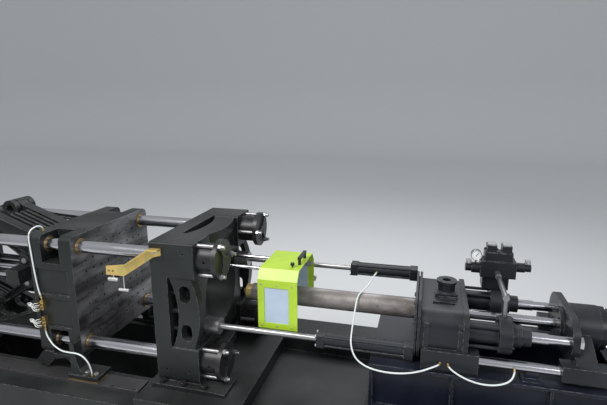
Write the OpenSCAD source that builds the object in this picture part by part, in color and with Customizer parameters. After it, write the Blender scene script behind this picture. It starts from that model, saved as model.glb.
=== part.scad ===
// Injection moulding machine, as it stands in the assembly shop: toggle clamp
// on the left, barrel and injection unit on the right, covers still off.
// X runs along the machine from clamp to injection, Y away from the operator,
// Z up. The origin is the middle of the bed's footprint on the floor.

/* [Machine] */
// Height of the machine axis above the floor
axis_h = 1200; // [1100:10:1350]
// Distance between neighbouring tie bars, centre to centre
tie_spacing = 620; // [560:10:680]
// Tie bar diameter
tie_d = 75; // [60:1:84]
// Mould space between the two platens as the machine stands
mould_gap = 532; // [450:2:560]

/* [Bed] */
// Bed length to the left of the fixed mould face
bed_left = 2640; // [2600:10:2900]
// Bed length to the right of the fixed mould face
bed_right = 2800; // [2760:10:3000]
// Bed width
bed_w = 1160; // [1080:10:1300]
// Drop from the machine axis to the bed top
bed_drop = 450; // [440:5:500]
// Wall of the welded bed
bed_wall = 25; // [12:1:40]
// Height of the levelling feet
foot_h = 60; // [45:5:90]
// Diameter of the levelling feet
foot_d = 140; // [100:5:180]
// Depth of the tray under the barrel
tray_depth = 100; // [60:5:150]

/* [Fixed platen] */
// Height and width of the fixed platen
fixed_size = 825; // [805:5:900]
// Depth of the fixed platen at its corners
fixed_t = 263; // [230:1:290]
// Thickness of its mould plate
slab_t = 98; // [80:1:120]
// Side of its square corner blocks
corner_w = 205; // [190:5:230]
// Bore for the locating ring
locating_d = 160; // [125:5:200]

/* [Moving platen] */
// Width of the moving platen
moving_w = 777; // [760:1:800]
// Height of the moving platen
moving_h = 768; // [750:1:800]
// Depth of the moving platen
moving_t = 300; // [260:5:320]
// Front and rear lobe thickness at its corners
lobe_t = 85; // [60:1:100]
// Outside diameter of its guide bushes
bush_d = 97; // [93:1:110]
// Diameter of the tapped holes in the mould faces
tap_d = 14; // [10:1:18]
// Pitch of the tapped holes
tap_pitch = 70; // [60:5:90]

/* [Toggle] */
// Height of the toggle pivots above and below the axis
pivot_z = 220; // [210:1:235]
// Rear pivot to elbow, along the machine
rear_reach = 450; // [430:5:470]
// Front pivot to elbow, along the machine
front_reach = 498; // [480:2:520]
// Rise of the elbow above its pivots
elbow_rise = 180; // [165:5:190]
// Toggle pin diameter
pin_d = 60; // [45:1:70]
// Diameter of the link eyes
eye_d = 124; // [110:2:130]
// Clamp cylinder bore
clamp_bore = 150; // [120:5:170]
// Clamp rod diameter
clamp_rod_d = 80; // [60:5:90]

/* [Guard] */
// Length of the nozzle guard
guard_l = 235; // [200:5:280]
// Width of the nozzle guard
guard_w = 400; // [380:10:440]
// Wall of the nozzle guard
guard_wall = 4; // [2:1:8]
// Diameter of the two guard rods
guard_rod_d = 22; // [16:1:26]

/* [Injection unit] */
// Barrel diameter
barrel_d = 116; // [100:2:130]
// Screw diameter
screw_d = 50; // [40:1:60]
// Half distance between the two injection cylinders
cyl_y = 200; // [190:2:206]
// Injection cylinder tube diameter
inj_tube_d = 112; // [104:2:124]
// Injection rod diameter
inj_rod_d = 58; // [46:1:64]
// Guide rail diameter
rail_d = 50; // [40:1:56]
// Half distance between the guide rails
rail_y = 270; // [262:1:276]
// Drop from the axis to the guide rails
rail_drop = 125; // [120:1:130]
// Hopper throat bore
throat_d = 46; // [36:2:50]

/* [Hidden] */
$fn = 64;
eps = 0.01;
// running fit of round parts, on the radius, and the gap between plain faces
fit = 0.05;
gap = 0.3;

// Frame
face_x = (bed_left - bed_right) / 2;
tie_o = tie_spacing / 2;
bed_top = -bed_drop;
bed_bottom = foot_h - axis_h;
half_w = bed_w / 2;
signs = [-1, 1];

// Bed
way_top = bed_top - 40;
strip_t = 20;
beam_top = way_top - strip_t;
pit_half = 300;
pit_x1 = -60;
tray_x0 = 545;
base_x0 = 1205;
base_x1 = bed_right - 20;
base_top = -190;
base_half = 330;
foot_y = half_w - 75;
foot_xs = [-bed_left + 110, -1500, -420, 700, 1750, bed_right - 110];

// Fixed platen
fh = fixed_size / 2;
// top edge of the latch bracket on the fixed platen
bracket_top = fh - 34.5;
nut_d = 170;
nut_l = 100;
nut_x1 = fixed_t + nut_l;
fastener_r = nut_d / 2 + 12;
disc_d = 2 * (fastener_r + 14);
disc_t = 28;
well_d = 560;
well_floor = 60;
// rear end of the fixed platen's feet
foot_x1 = 430;
band_t = 62;
arch_side = 300;
bolt_xs = [40, 170, 300];
pull_seat = fixed_t - 20;
guard_seat = fixed_t - 30;
flange_y = fh + 42;
bolt_y = fh + 21;

// Moving platen
mf = -mould_gap;
mb = mf - moving_t;
mw = moving_w / 2;
mh = moving_h / 2;
shoe_y0 = 330;
shoe_y1 = 462;
wear_t = 8;
ear_h = 70;

// Toggle: A rear pivot, B elbow, C front pivot, D and E crosshead link
c_x = mb - ear_h;
b_x = c_x - front_reach;
a_x = b_x - rear_reach;
b_z = pivot_z + elbow_rise;
rear_face = a_x - ear_h;
rear_t = 200;
rear_back = rear_face - rear_t;
rear_len = norm([rear_reach, elbow_rise]);
rear_deg = atan2(elbow_rise, rear_reach);
front_len = norm([front_reach, elbow_rise]);
front_deg = atan2(elbow_rise, front_reach);
d_along = 330;
d_off = 60;
d_x = a_x + d_along * cos(rear_deg) + d_off * sin(rear_deg);
d_z = pivot_z + d_along * sin(rear_deg) - d_off * cos(rear_deg);
e_z = 80;
link_len = 385;
e_x = d_x + sqrt(link_len * link_len - (d_z - e_z) * (d_z - e_z));
rear_plates = [[50, 90], [180, 220]];
front_plates = [[100, 170]];
small_eye = 84;
small_pin = 40;
cyl_back = -bed_left + 60;
guide_y = 150;
guide_d = 40;
rod_tail = rear_back - 77;

pit_x0 = rear_face + 20;

// Guard
gx0 = 545;
gx1 = gx0 + guard_l;
g_half = guard_w / 2;
g_low = -130;
g_shoulder = 167;
g_top = 222;
g_slope = 42;
win_x0 = gx0 + 40;
win_x1 = gx1 - 50;
win_z0 = -95;
win_z1 = 120;
guard_rod_y = 90;
guard_rod_z = 190;

// Injection unit
nozzle_tip = 385;
barrel_x0 = 470;
housing_x0 = 1455;
housing_x1 = 1692;
flange_x0 = 1423;
barrel_x1 = 1660;
screw_tip = barrel_x0 + 120;
housing_low = -150;
housing_top = 104;
throat_x = 1584;
throat_top = 190;
pull_x0 = 906;
pull_rod_d = 34;
pull_end = 1080;
pull_near = [-240, -132];
pull_far = [240, 118];
inj_z = 0;
piston_x = 1872;
gland_x0 = 1835;
gland_x1 = 1897;
inj_end = 1990;
ram_x0 = 2170;
ram_x1 = 2205;
ram_x2 = 2336;
motor_x1 = 2690;
rail_x0 = 1480;
rail_x1 = 2762;
post_xs = [1970, 2560];

// Hose routes, millimetres from the fixed mould face and the machine axis
platen_hose_route = [[-792, -300, 384.3], [-793, -300, 398], [-797, -308, 412], [-803, -325, 420],
    [-808, -348, 418], [-812, -372, 408], [-814, -388, 388], [-814, -394, 360], [-812, -395, 320],
    [-808, -395, 240], [-803, -395, 150], [-797, -395, 80], [-789, -395, 30], [-781, -395, 2],
    [-777, -395, -10.9]];
shoe_hose_route = [[-777, -395, -210.3], [-777, -396, -228], [-768, -400, -256], [-742, -408, -284],
    [-705, -424, -300], [-660, -440, -308], [-610, -456, -310], [-560, -462, -308],
    [-515, -462, -308], [-480, -460, -318], [-455, -456, -342], [-440, -450, -376],
    [-434, -446, -412], [-432, -444, -440], [-432, -444, -455.7]];
carriage_hose_route = [[1180, 205.2, 118], [1178, 188, 118], [1172, 165, 116], [1164, 135, 108],
    [1152, 95, 92], [1136, 50, 78], [1118, 5, 70], [1104, -35, 62], [1096, -70, 36],
    [1092, -104, -8], [1090, -142, -52], [1091, -188, -78], [1095, -236, -86], [1100, -282, -102],
    [1110, -304, -134], [1128, -320, -164], [1160, -336, -186], [1208, -350, -200],
    [1270, -358, -206], [1340, -358, -206], [1410, -352, -198], [1470, -344, -182],
    [1515, -338, -162], [1545, -332, -148], [1558, -324, -141], [1562, -313.2, -138]];
ram_hose_route = [[1600, -313, -140], [1602, -324, -144], [1616, -338, -154], [1650, -350, -170],
    [1700, -360, -186], [1760, -366, -194], [1820, -363, -192], [1870, -350, -182],
    [1898, -335, -166], [1910, -320, -148], [1914, -306, -134], [1914, -296.4, -127]];
hose_d = 9;

module at_axis() {
    translate([face_x, 0, axis_h])
        children();
}

// box from corner to corner
module span(x0, x1, y0, y1, z0, z1) {
    translate([x0, y0, z0])
        cube([x1 - x0, y1 - y0, z1 - z0]);
}

module xcyl(x0, x1, d, y = 0, z = 0) {
    translate([x0, y, z])
        rotate([0, 90, 0])
            cylinder(h = x1 - x0, d = d);
}

module ycyl(y0, y1, d, x = 0, z = 0) {
    translate([x, y0, z])
        rotate([-90, 0, 0])
            cylinder(h = y1 - y0, d = d);
}

module zcyl(z0, z1, d, x = 0, y = 0) {
    translate([x, y, z0])
        cylinder(h = z1 - z0, d = d);
}

module both_sides() {
    for (s = signs)
        scale_y(s)
            children();
}

module scale_y(s) {
    if (s < 0)
        mirror([0, 1, 0])
            children();
    else
        children();
}

module up_down() {
    children();
    mirror([0, 0, 1])
        children();
}

module corners() {
    both_sides()
        up_down()
            children();
}

// plate in the YZ plane with round corners
module round_plate(x0, x1, y0, y1, z0, z1, r) {
    translate([x0, 0, 0])
        rotate([90, 0, 90])
            linear_extrude(x1 - x0)
                union() {
                    translate([y0 + r, z0])
                        square([y1 - y0 - 2 * r, z1 - z0]);
                    translate([y0, z0 + r])
                        square([y1 - y0, z1 - z0 - 2 * r]);
                    for (y = [y0 + r, y1 - r])
                        for (z = [z0 + r, z1 - r])
                            translate([y, z])
                                circle(r);
                }
}

// outline in the XZ plane, given thickness along Y
module side_plate(y0, y1, pts) {
    translate([0, y1, 0])
        rotate([90, 0, 0])
            linear_extrude(y1 - y0)
                polygon(pts);
}

module hex_bolt_x(x0, d, l, y, z) {
    translate([x0, y, z])
        rotate([0, 90, 0])
            cylinder(h = l, d = d, $fn = 6);
}

// tube swept along a route, closed at both ends
function lerp_route(p, k) = [for (i = [0 : len(p) - 2]) for (j = [0 : k - 1])
    let (t = j / k, a = p[max(i - 1, 0)], b = p[i], c = p[i + 1], d = p[min(i + 2, len(p) - 1)])
    0.5 * ((2 * b) + (c - a) * t + (2 * a - 5 * b + 4 * c - d) * t * t
        + (3 * b - a - 3 * c + d) * t * t * t)];
function unit(v) = v / norm(v);
module route_tube(p, d, k) {
    route = concat(lerp_route(p, k), [p[len(p) - 1]]);
    n = len(route);
    sides = 8;
    tang = [for (i = [0 : n - 1]) unit(route[min(i + 1, n - 1)] - route[max(i - 1, 0)])];
    side_v = [for (t = tang) unit(cross(t, abs(t[2]) > 0.9 ? [1, 0, 0] : [0, 0, 1]))];
    rings = [for (i = [0 : n - 1]) for (s = [0 : sides - 1])
        let (a = 360 * s / sides, u = side_v[i], v = cross(tang[i], side_v[i]))
        route[i] + d / 2 * (cos(a) * u + sin(a) * v)];
    skin = [for (i = [0 : n - 2]) for (s = [0 : sides - 1])
        let (q = (s + 1) % sides)
        [i * sides + s, (i + 1) * sides + s, (i + 1) * sides + q, i * sides + q]];
    caps = [[for (s = [0 : sides - 1]) s], [for (s = [sides - 1 : -1 : 0]) (n - 1) * sides + s]];
    polyhedron(points = rings, faces = concat(skin, caps));
}

module bed_shell(x0, x1, y0, y1, top) {
    difference() {
        span(x0, x1, y0, y1, bed_bottom, top);
        span(x0 + bed_wall, x1 - bed_wall, y0 + bed_wall, y1 - bed_wall, bed_bottom - 1, top - bed_wall);
    }
}

module bed_frame() {
    color([0.16, 0.18, 0.18]) at_axis() {
        difference() {
            union() {
                bed_shell(-bed_left, pit_x0, -half_w, half_w, bed_top);
                for (s = signs)
                    scale_y(s)
                        bed_shell(pit_x0 - bed_wall, pit_x1 + bed_wall, pit_half, half_w, beam_top);
                bed_shell(pit_x1, bed_right, -half_w, half_w, bed_top);
                // floor and walls of the tray
                span(tray_x0 - bed_wall, base_x0, -half_w + 60, 320, bed_top - tray_depth - bed_wall, bed_top - eps);
                for (x = foot_xs)
                    for (s = signs)
                        scale_y(s)
                            span(x - 70, x + 70, foot_y - 70, half_w - eps, bed_bottom, bed_bottom + 30);
            }
            span(tray_x0, base_x0 - bed_wall, -half_w + 85, 308, bed_top - tray_depth, bed_top + 1);
            // parts chute under the mould space
            span(-450, -110, -half_w - 1, -pit_half + 1, -1000, -700);
            // service openings in the side walls
            for (x = [-2450, 300, 1250, 2050])
                for (s = signs)
                    scale_y(s)
                        span(x, x + 460, half_w - bed_wall - 1, half_w + 1, -1010, -700);
        }
    }
}

module injection_base() {
    color([0.13, 0.15, 0.20]) at_axis() {
        difference() {
            union() {
                span(base_x0, base_x1, -base_half, base_half, base_top - 18, base_top);
                span(base_x0 + 12, base_x1 - 12, -base_half + 30, base_half - 30, bed_top, base_top - 18 + eps);
                span(base_x0, base_x1, -base_half, base_half, bed_top, bed_top + 18);
                span(base_x0, base_x0 + 20, -base_half, base_half, bed_top, base_top);
                for (x = [base_x0 + 415, base_x0 + 875, base_x1 - 260])
                    both_sides()
                        span(x, x + 14, base_half - 31, base_half - 4, bed_top + 10, base_top - 10);
            }
            span(base_x0 + 50, base_x1 - 50, -base_half + 60, base_half - 60, bed_top - 1, base_top - 25);
            span(base_x0 + 435, base_x1 - 360, -130, 130, base_top - 26, base_top + 1);
        }
    }
}

module levelling_feet() {
    color([0.3, 0.3, 0.31]) at_axis()
        for (x = foot_xs)
            for (y = [-foot_y, foot_y]) {
                zcyl(-axis_h, -axis_h + 24, foot_d, x, y);
                zcyl(-axis_h + 24 - eps, bed_bottom, 48, x, y);
            }
}

module slideway_strips() {
    color([0.55, 0.56, 0.56]) at_axis()
        both_sides()
            difference() {
                span(-1380, -110, shoe_y0 + 25, shoe_y1 + 6, beam_top, way_top);
                for (x = [-1340 : 150 : -130])
                    zcyl(way_top - 8, way_top + 1, 18, x, shoe_y1 - 8);
            }
}

function tap_rows(half) = [for (i = [-floor(half / tap_pitch) : floor(half / tap_pitch)]) i * tap_pitch];

// tapped holes of one mould face, outside the tie bar corners and the centre
module tap_grid(x0, x1) {
    for (y = tap_rows(310))
        for (z = tap_rows(310))
            if (!(abs(y) > 215 && abs(z) > 215) && norm([y, z]) > 125)
                xcyl(x0, x1, tap_d, y, z);
}

// band that bows away from the mould plate, drawn in the XZ plane
module bow_band(y0, y1, chord, x_in, x_out, bulge) {
    r_in = (chord * chord / 4 + bulge * bulge) / (2 * bulge);
    translate([0, y1, 0])
        rotate([90, 0, 0])
            linear_extrude(y1 - y0)
                difference() {
                    intersection() {
                        translate([x_out + bulge - r_in - 20, 0])
                            circle(r_in + 20, $fn = 128);
                        translate([slab_t - 30, -chord / 2])
                            square([x_out + bulge, chord]);
                    }
                    translate([x_in + bulge - r_in, 0])
                        circle(r_in, $fn = 128);
                }
}

module fixed_casting() {
    union() {
        round_plate(0, slab_t, -fh, fh, -fh, fh, 14);
        for (y = [-fh, fh - corner_w])
            for (z = [-fh, fh - corner_w])
                round_plate(slab_t - 1, fixed_t, y, y + corner_w, z, z + corner_w, 12);
        // rear body that holds the nozzle well
        span(slab_t - 1, fixed_t - 35, -arch_side, arch_side, -arch_side, arch_side);
        for (s = signs)
            scale_y(s)
                bow_band(fh - band_t - 8, fh - 8, 2 * (fh - corner_w) + 60, slab_t - 8, fixed_t - 45, 62);
        rotate([90, 0, 0])
            for (s = signs)
                scale_y(s)
                    bow_band(fh - band_t - 8, fh - 8, 2 * (fh - corner_w) + 60, slab_t - 8, fixed_t - 45, 62);
        // ribs between bands and body
        for (z = [-110, 0, 110])
            span(slab_t - 1, fixed_t - 60, -fh + 40, fh - 40, z - 9, z + 9);
        span(slab_t - 1, fixed_t - 60, -9, 9, -fh + 40, fh - 40);
        // feet
        for (s = signs)
            scale_y(s) {
                side_plate(fh - 130, flange_y, [[-24, bed_top], [foot_x1, bed_top], [foot_x1, bed_top + 18],
                    [foot_x1 - 100, bed_top + 26], [0, bed_top + 26], [-24, bed_top + 18]]);
                side_plate(fh - 130, fh - 8, [[2, bed_top + 10], [300, bed_top + 10],
                    [fixed_t - 1, bed_top + 30], [fixed_t - 1, -fh + 70], [2, -fh + 70]]);
            }
    }
}

module fixed_platen() {
    color([0.2, 0.22, 0.22]) at_axis() {
        for (p = [pull_near, pull_far])
            xcyl(slab_t - 1, pull_seat, 110, p[0], p[1]);
        for (y = [-guard_rod_y, guard_rod_y])
            xcyl(slab_t - 1, guard_seat, 46, y, guard_rod_z);
        difference() {
            fixed_casting();
            corners()
                xcyl(fixed_t, foot_x1 + 10, disc_d + 4, tie_o, tie_o);
            corners()
                xcyl(-1, fixed_t + 1, tie_d + 2 * fit, tie_o, tie_o);
            xcyl(-1, slab_t + 1, locating_d - 30, 0, 0);
            xcyl(-1, 26, locating_d, 0, 0);
            translate([well_floor, 0, 0])
                rotate([0, 90, 0])
                    cylinder(h = 260, d1 = 240, d2 = well_d);
            tap_grid(-1, 40);
            // oval windows in the side bands
            for (z = [-112, 118])
                for (s = signs)
                    scale_y(s)
                        for (dz = [-18, 18])
                            ycyl(arch_side + 1, fh + 1, 66, 196, z + dz);
            for (z = [-112, 118])
                for (s = signs)
                    scale_y(s)
                        span(163, 229, arch_side + 1, fh + 1, z - 18, z + 18);
            for (y = [-fh + 45, -fh + 160, fh - 45, fh - 160])
                for (x = [52, 118])
                    zcyl(fh - 20, fh + 1, 12, x, y);
            for (z = [-fh + 60, fh - 60])
                for (x = [60, 200])
                    for (s = signs)
                        scale_y(s)
                            ycyl(fh - 20, fh + 1, 12, x, z);
            for (x = bolt_xs)
                for (s = signs)
                    scale_y(s)
                        zcyl(bed_top - 1, bed_top + 80, 26, x, bolt_y);
        }
    }
}

module platen_bolts() {
    color([0.25, 0.25, 0.26]) at_axis()
        for (x = bolt_xs)
            both_sides() {
                translate([x, bolt_y, bed_top + 26])
                    cylinder(h = 22, d = 38, $fn = 6);
                zcyl(bed_top, bed_top + 27, 25, x, bolt_y);
            }
}

module locating_ring() {
    color([0.6, 0.6, 0.6]) at_axis()
        difference() {
            xcyl(1, 26, locating_d - 2 * fit);
            xcyl(0, 27, locating_d - 60);
        }
}

module tie_bars() {
    color([0.82, 0.83, 0.85]) at_axis()
        corners()
            difference() {
                xcyl(rear_back - 150, nut_x1 + 18, tie_d, tie_o, tie_o);
                // groove ring near the fixed platen
                difference() {
                    xcyl(-150, -146, tie_d + 4, tie_o, tie_o);
                    xcyl(-151, -145, tie_d - 2, tie_o, tie_o);
                }
            }
}

module tie_bar_nuts() {
    color([0.17, 0.17, 0.18]) at_axis()
        corners() {
            difference() {
                xcyl(fixed_t, nut_x1, nut_d, tie_o, tie_o);
                xcyl(fixed_t - 1, nut_x1 + 1, tie_d + 2 * fit, tie_o, tie_o);
                for (a = [0 : 60 : 300])
                    translate([fixed_t + 52, tie_o, tie_o])
                        rotate([a + 30, 0, 0])
                            zcyl(nut_d / 2 - 14, nut_d / 2 + 1, 14);
            }
            difference() {
                xcyl(rear_back - 110, rear_back, nut_d, tie_o, tie_o);
                xcyl(rear_back - 111, rear_back + 1, tie_d + 2 * fit, tie_o, tie_o);
            }
        }
}

// three fastener places round a tie bar, 120 degrees apart
module fastener_places() {
    for (a = [90, 210, 330])
        translate([0, tie_o, tie_o])
            rotate([a, 0, 0])
                translate([0, 0, fastener_r])
                    children();
}

module retainer_discs() {
    color([0.2, 0.21, 0.21]) at_axis()
        corners()
            difference() {
                union() {
                    xcyl(nut_x1 + 2, nut_x1 + disc_t, disc_d, tie_o, tie_o);
                    for (a = [90, 210, 330])
                        translate([nut_x1 + disc_t - 1, tie_o, tie_o])
                            rotate([a, 0, 0])
                                span(0, 13, -9, 9, 14, fastener_r - 20);
                    xcyl(nut_x1 + disc_t - 1, nut_x1 + disc_t + 10, 56, tie_o, tie_o);
                }
                xcyl(nut_x1 - 1, nut_x1 + 20, tie_d + 6, tie_o, tie_o);
                fastener_places()
                    xcyl(0, 600, 22);
            }
}

module retainer_fasteners() {
    color([0.5, 0.5, 0.5]) at_axis()
        corners()
            fastener_places() {
                xcyl(fixed_t, nut_x1 + disc_t + 34, 21.6);
                translate([nut_x1 + disc_t, 0, 0])
                    rotate([0, 90, 0])
                        cylinder(h = 16, d = 34, $fn = 6);
            }
}

module toggle_ears(x0, x1, bands, xc, reach) {
    for (b = bands)
        both_sides() {
            ycyl(b[0], b[1], 2 * reach, xc, pivot_z);
            span(min(x0, xc), max(x0, xc), b[0], b[1], pivot_z - reach, pivot_z + reach);
        }
}

module rear_platen() {
    color([0.2, 0.22, 0.22]) at_axis()
        difference() {
            union() {
                round_plate(rear_back, rear_face, -fh, fh, -fh, fh, 14);
                up_down()
                    toggle_ears(rear_face, a_x, [[92, 178], [222, 258]], a_x, ear_h - 12);
                for (s = signs)
                    scale_y(s)
                        span(rear_back, rear_face, fh - 130, flange_y, bed_top, -fh + 20);
            }
            corners()
                xcyl(rear_back - 1, rear_face + 1, tie_d + 2 * fit, tie_o, tie_o);
            up_down()
                ycyl(-300, 300, pin_d, a_x, pivot_z);
            xcyl(rear_back - 1, rear_face + 1, clamp_rod_d + 60);
            // weight pockets in the back
            for (s = signs) {
                scale_y(s)
                    span(rear_back - 1, rear_back + 110, 170, 330, -140, 140);
                up_down()
                    span(rear_back - 1, rear_back + 110, -200, 200, 180, 330);
            }
        }
}

module rear_pins() {
    color([0.7, 0.7, 0.71]) at_axis()
        up_down()
            ycyl(-262, 262, pin_d - eps, a_x, pivot_z);
}

module clamp_cylinder() {
    color([0.16, 0.17, 0.18]) at_axis()
        difference() {
            union() {
                xcyl(cyl_back, rear_back, clamp_bore + 50);
                xcyl(rear_back - 40, rear_back, clamp_bore + 120);
                xcyl(cyl_back, cyl_back + 45, clamp_bore + 90);
                xcyl(rear_back - 1, rear_face - 20, clamp_rod_d + 59.5);
                translate([cyl_back + 55, -45, clamp_bore / 2])
                    cube([90, 90, 70]);
            }
            xcyl(cyl_back + 45, rear_back - 30, clamp_bore);
            xcyl(rear_back - 31, rear_face + 1, clamp_rod_d + 2 * fit);
            for (a = [0 : 45 : 315])
                rotate([a, 0, 0])
                    xcyl(rear_back - 41, rear_back - 24, 26, 0, clamp_bore / 2 + 40);
        }
}

module crosshead_guides() {
    color([0.8, 0.81, 0.82]) at_axis()
        both_sides()
            xcyl(rear_face, e_x + 52, guide_d, guide_y, 0);
}

module latch_bracket() {
    color([0.86, 0.72, 0.34]) at_axis()
        translate([0, 0, bracket_top])
            difference() {
                union() {
                    // arm on the platen's near face, sloping down to its end plate
                    side_plate(-fh - 8, -fh, [[75, 0], [75, -38], [30, -50], [-165, -179],
                        [-281, -181], [-278, -129], [-157, -111], [10, -1]]);
                    // lip folded out along the arm's top
                    side_plate(-fh - 40, -fh - 7.9, [[75, 0], [75, -8], [12, -9], [-157, -119],
                        [-157, -111], [10, -1]]);
                }
                for (x = [-262, -235])
                    ycyl(-fh - 20, -fh + 20, 13, x, -156);
                for (x = [30, 56])
                    ycyl(-fh - 10, -fh + 20, 9, x, -22);
            }
}

// underside of the end plate at x, down from the bracket's top
function plate_low(x) = -179 + (x + 165) / 58;

module bracket_fittings() {
    color([0.78, 0.78, 0.77]) at_axis()
        translate([0, 0, bracket_top]) {
            // two switch rollers on stems under the end plate
            zcyl(-206, plate_low(-236) - gap, 7, -236, -fh - 4);
            xcyl(-268, -205, 24, -fh - 4, -206);
            zcyl(-264, plate_low(-172) - gap, 7, -172, -fh - 4);
            xcyl(-206, -142, 18, -fh - 4, -264);
        }
}

module guard_rods() {
    color([0.82, 0.83, 0.86]) at_axis()
        both_sides()
            xcyl(guard_seat, gx1 - 20, guard_rod_d, guard_rod_y, guard_rod_z);
}

module carriage_rods() {
    color([0.75, 0.76, 0.77]) at_axis()
        for (p = [pull_near, pull_far]) {
            xcyl(pull_seat, pull_end, pull_rod_d, p[0], p[1]);
            difference() {
                xcyl(pull_seat, pull_seat + 84, 96, p[0], p[1]);
                xcyl(pull_seat - 1, pull_seat + 85, pull_rod_d + 2 * fit, p[0], p[1]);
            }
            xcyl(pull_end - 24, pull_end, 59.8, p[0], p[1]);
        }
}

module rail_posts() {
    color([0.14, 0.16, 0.22]) at_axis()
        for (x = post_xs)
            both_sides()
                difference() {
                    union() {
                        span(x, x + 60, rail_y - 13, rail_y + 13, base_top, -rail_drop - 10);
                        span(x - 20, x + 80, rail_y - 45, rail_y + 45, base_top, base_top + 12);
                    }
                    xcyl(x - 1, x + 61, rail_d + 2 * gap, rail_y, -rail_drop);
                }
}

module moving_platen() {
    color([0.2, 0.22, 0.22]) at_axis()
        difference() {
            union() {
                round_plate(mb, mf, -mw, mw, -mh, mh, 40);
                up_down()
                    toggle_ears(mb, c_x, [[52, 98], [172, 232]], c_x, ear_h - 12);
                // bracket for the front shoe and the rear hook
                for (s = signs)
                    scale_y(s)
                        side_plate(shoe_y0, mw - 2, [[mb + 10, -mh + 10], [mb - 60, way_top + 34],
                            [mb + 30, way_top + 12], [mb + 90, way_top + 70], [mf - 130, -mh - 20],
                            [mf - 60, way_top + 34], [mf - 4, way_top + 34], [mf - 8, -mh + 10]]);
            }
            corners() {
                // window between the two lobes
                span(mb + lobe_t, mf - lobe_t, tie_o - 78, mw + 1, tie_o - 95, mh + 1);
                xcyl(mb - 1, mf + 1, bush_d, tie_o, tie_o);
            }
            tap_grid(mf - 40, mf + 1);
            up_down()
                ycyl(-300, 300, pin_d, c_x, pivot_z);
            // ejector bores
            xcyl(mb - 1, mf + 1, 60);
            // framed side panels
            for (s = signs)
                scale_y(s) {
                    span(mb + 26, mf - 46, mw - 12, mw + 1, 12, 178);
                    span(mb + 26, mf - 46, mw - 12, mw + 1, -196, -12);
                }
            // pockets from the back
            for (s = signs)
                scale_y(s)
                    span(mb - 1, mb + 190, 250, 340, -180, 180);
        }
}

module platen_bushes() {
    color([0.62, 0.48, 0.25]) at_axis()
        corners()
            for (x = [mb, mf - lobe_t])
                difference() {
                    union() {
                        xcyl(x, x + lobe_t, bush_d, tie_o, tie_o);
                        if (x == mb)
                            xcyl(mb - 5, mb, bush_d + 14, tie_o, tie_o);
                        else
                            xcyl(mf, mf + 6, bush_d, tie_o, tie_o);
                    }
                    xcyl(x - 10, x + lobe_t + 10, tie_d + 2 * fit, tie_o, tie_o);
                }
}

module platen_shoes() {
    color([0.22, 0.23, 0.24]) at_axis()
        both_sides()
            difference() {
                union() {
                    span(mf - 60, mf + 146, shoe_y0, shoe_y1, way_top + wear_t, way_top + 34);
                    side_plate(shoe_y0 + 62, shoe_y1 - 10, [[mf - 40, way_top + 33], [mf + 60, way_top + 33],
                        [mf + 20, way_top + 70], [mf - 4, -mh + 60], [mf - 34, -mh + 60]]);
                    span(mf - 34, mf - 4, mw, shoe_y1 - 10, -mh + 59, -mh + 130);
                }
                moving_bracket_cut();
                for (x = [mf + 50, mf + 115])
                    zcyl(way_top, way_top + 60, 22, x, shoe_y1 - 36);
            }
}

// room for the platen's own bracket inside the shoe
module moving_bracket_cut() {
    span(mb, mf + 40, shoe_y0 - 1, mw - 2 + eps, way_top + 34, -mh + 200);
}

module wear_plates() {
    color([0.68, 0.5, 0.26]) at_axis()
        both_sides()
            span(mf - 60, mf + 146, shoe_y0 + 30, shoe_y1, way_top + gap, way_top + wear_t);
}

module front_pins() {
    color([0.7, 0.7, 0.71]) at_axis()
        up_down()
            ycyl(-236, 236, pin_d - eps, c_x, pivot_z);
}

module grease_blocks() {
    color([0.8, 0.66, 0.36]) at_axis() {
        for (z = [-58, -164]) {
            span(mb + 44, mb + 66, -mw - 14, -mw + 12, z - 30, z + 30);
            for (i = [0 : 4])
                ycyl(-mw - 34, -mw - 13, 8, mb + 50 + (i % 2) * 10, z - 24 + 12 * i);
        }
        // nipples of the two hoses
        zcyl(-29, -12, 8, mb + 55, -mw - 6.5);
        zcyl(-210, -193, 8, mb + 55, -mw - 6.5);
    }
}

module ejector_cylinder() {
    color([0.17, 0.18, 0.19]) at_axis()
        difference() {
            union() {
                xcyl(mb - 150, mb, 96);
                xcyl(mb - 14, mb, 150);
                span(mb - 30, mb, -100, 100, -26, 26);
                xcyl(mb - 176, mb - 150 + eps, 84);
            }
            xcyl(mb - 150, mb + 1, 40.1);
        }
}

module ejector_rod() {
    color([0.72, 0.73, 0.74]) at_axis() {
        xcyl(mb - 140, mf - 60, 40);
        xcyl(mf - 62, mf - 34, 59.4);
    }
}

module crosshead() {
    color([0.2, 0.21, 0.22]) at_axis()
        difference() {
            union() {
                xcyl(e_x - 66, e_x + 66, 132);
                span(e_x - 50, e_x + 50, -guide_y - 45, guide_y + 45, -48, 48);
                up_down()
                    for (b = [[42.5, 84]])
                        both_sides() {
                            ycyl(b[0], b[1], small_eye, e_x, e_z);
                            span(e_x - 42, e_x + 42, b[0], b[1], 20, e_z);
                        }
            }
            for (s = signs)
                scale_y(s)
                    xcyl(e_x - 51, e_x + 51, guide_d + 2 * fit, guide_y, 0);
            xcyl(e_x - 67, e_x + 20, clamp_rod_d - 20);
            up_down() {
                ycyl(-100, 100, small_pin, e_x, e_z);
                // slot for the link eye
                span(e_x - 70, e_x + 70, -42.5, 42.5, e_z - 44, e_z + 60);
            }
        }
}

module clamp_rod() {
    color([0.82, 0.83, 0.85]) at_axis() {
        xcyl(e_x - 67 + eps, e_x + 20, clamp_rod_d - 20 - eps);
        xcyl(rod_tail, e_x - 66, clamp_rod_d);
        xcyl(rod_tail - 30, rod_tail + eps, clamp_bore - 2 * fit);
    }
}

module crosshead_pins() {
    color([0.7, 0.7, 0.71]) at_axis()
        up_down()
            ycyl(-88, 88, small_pin - eps, e_x, e_z);
}

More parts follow.
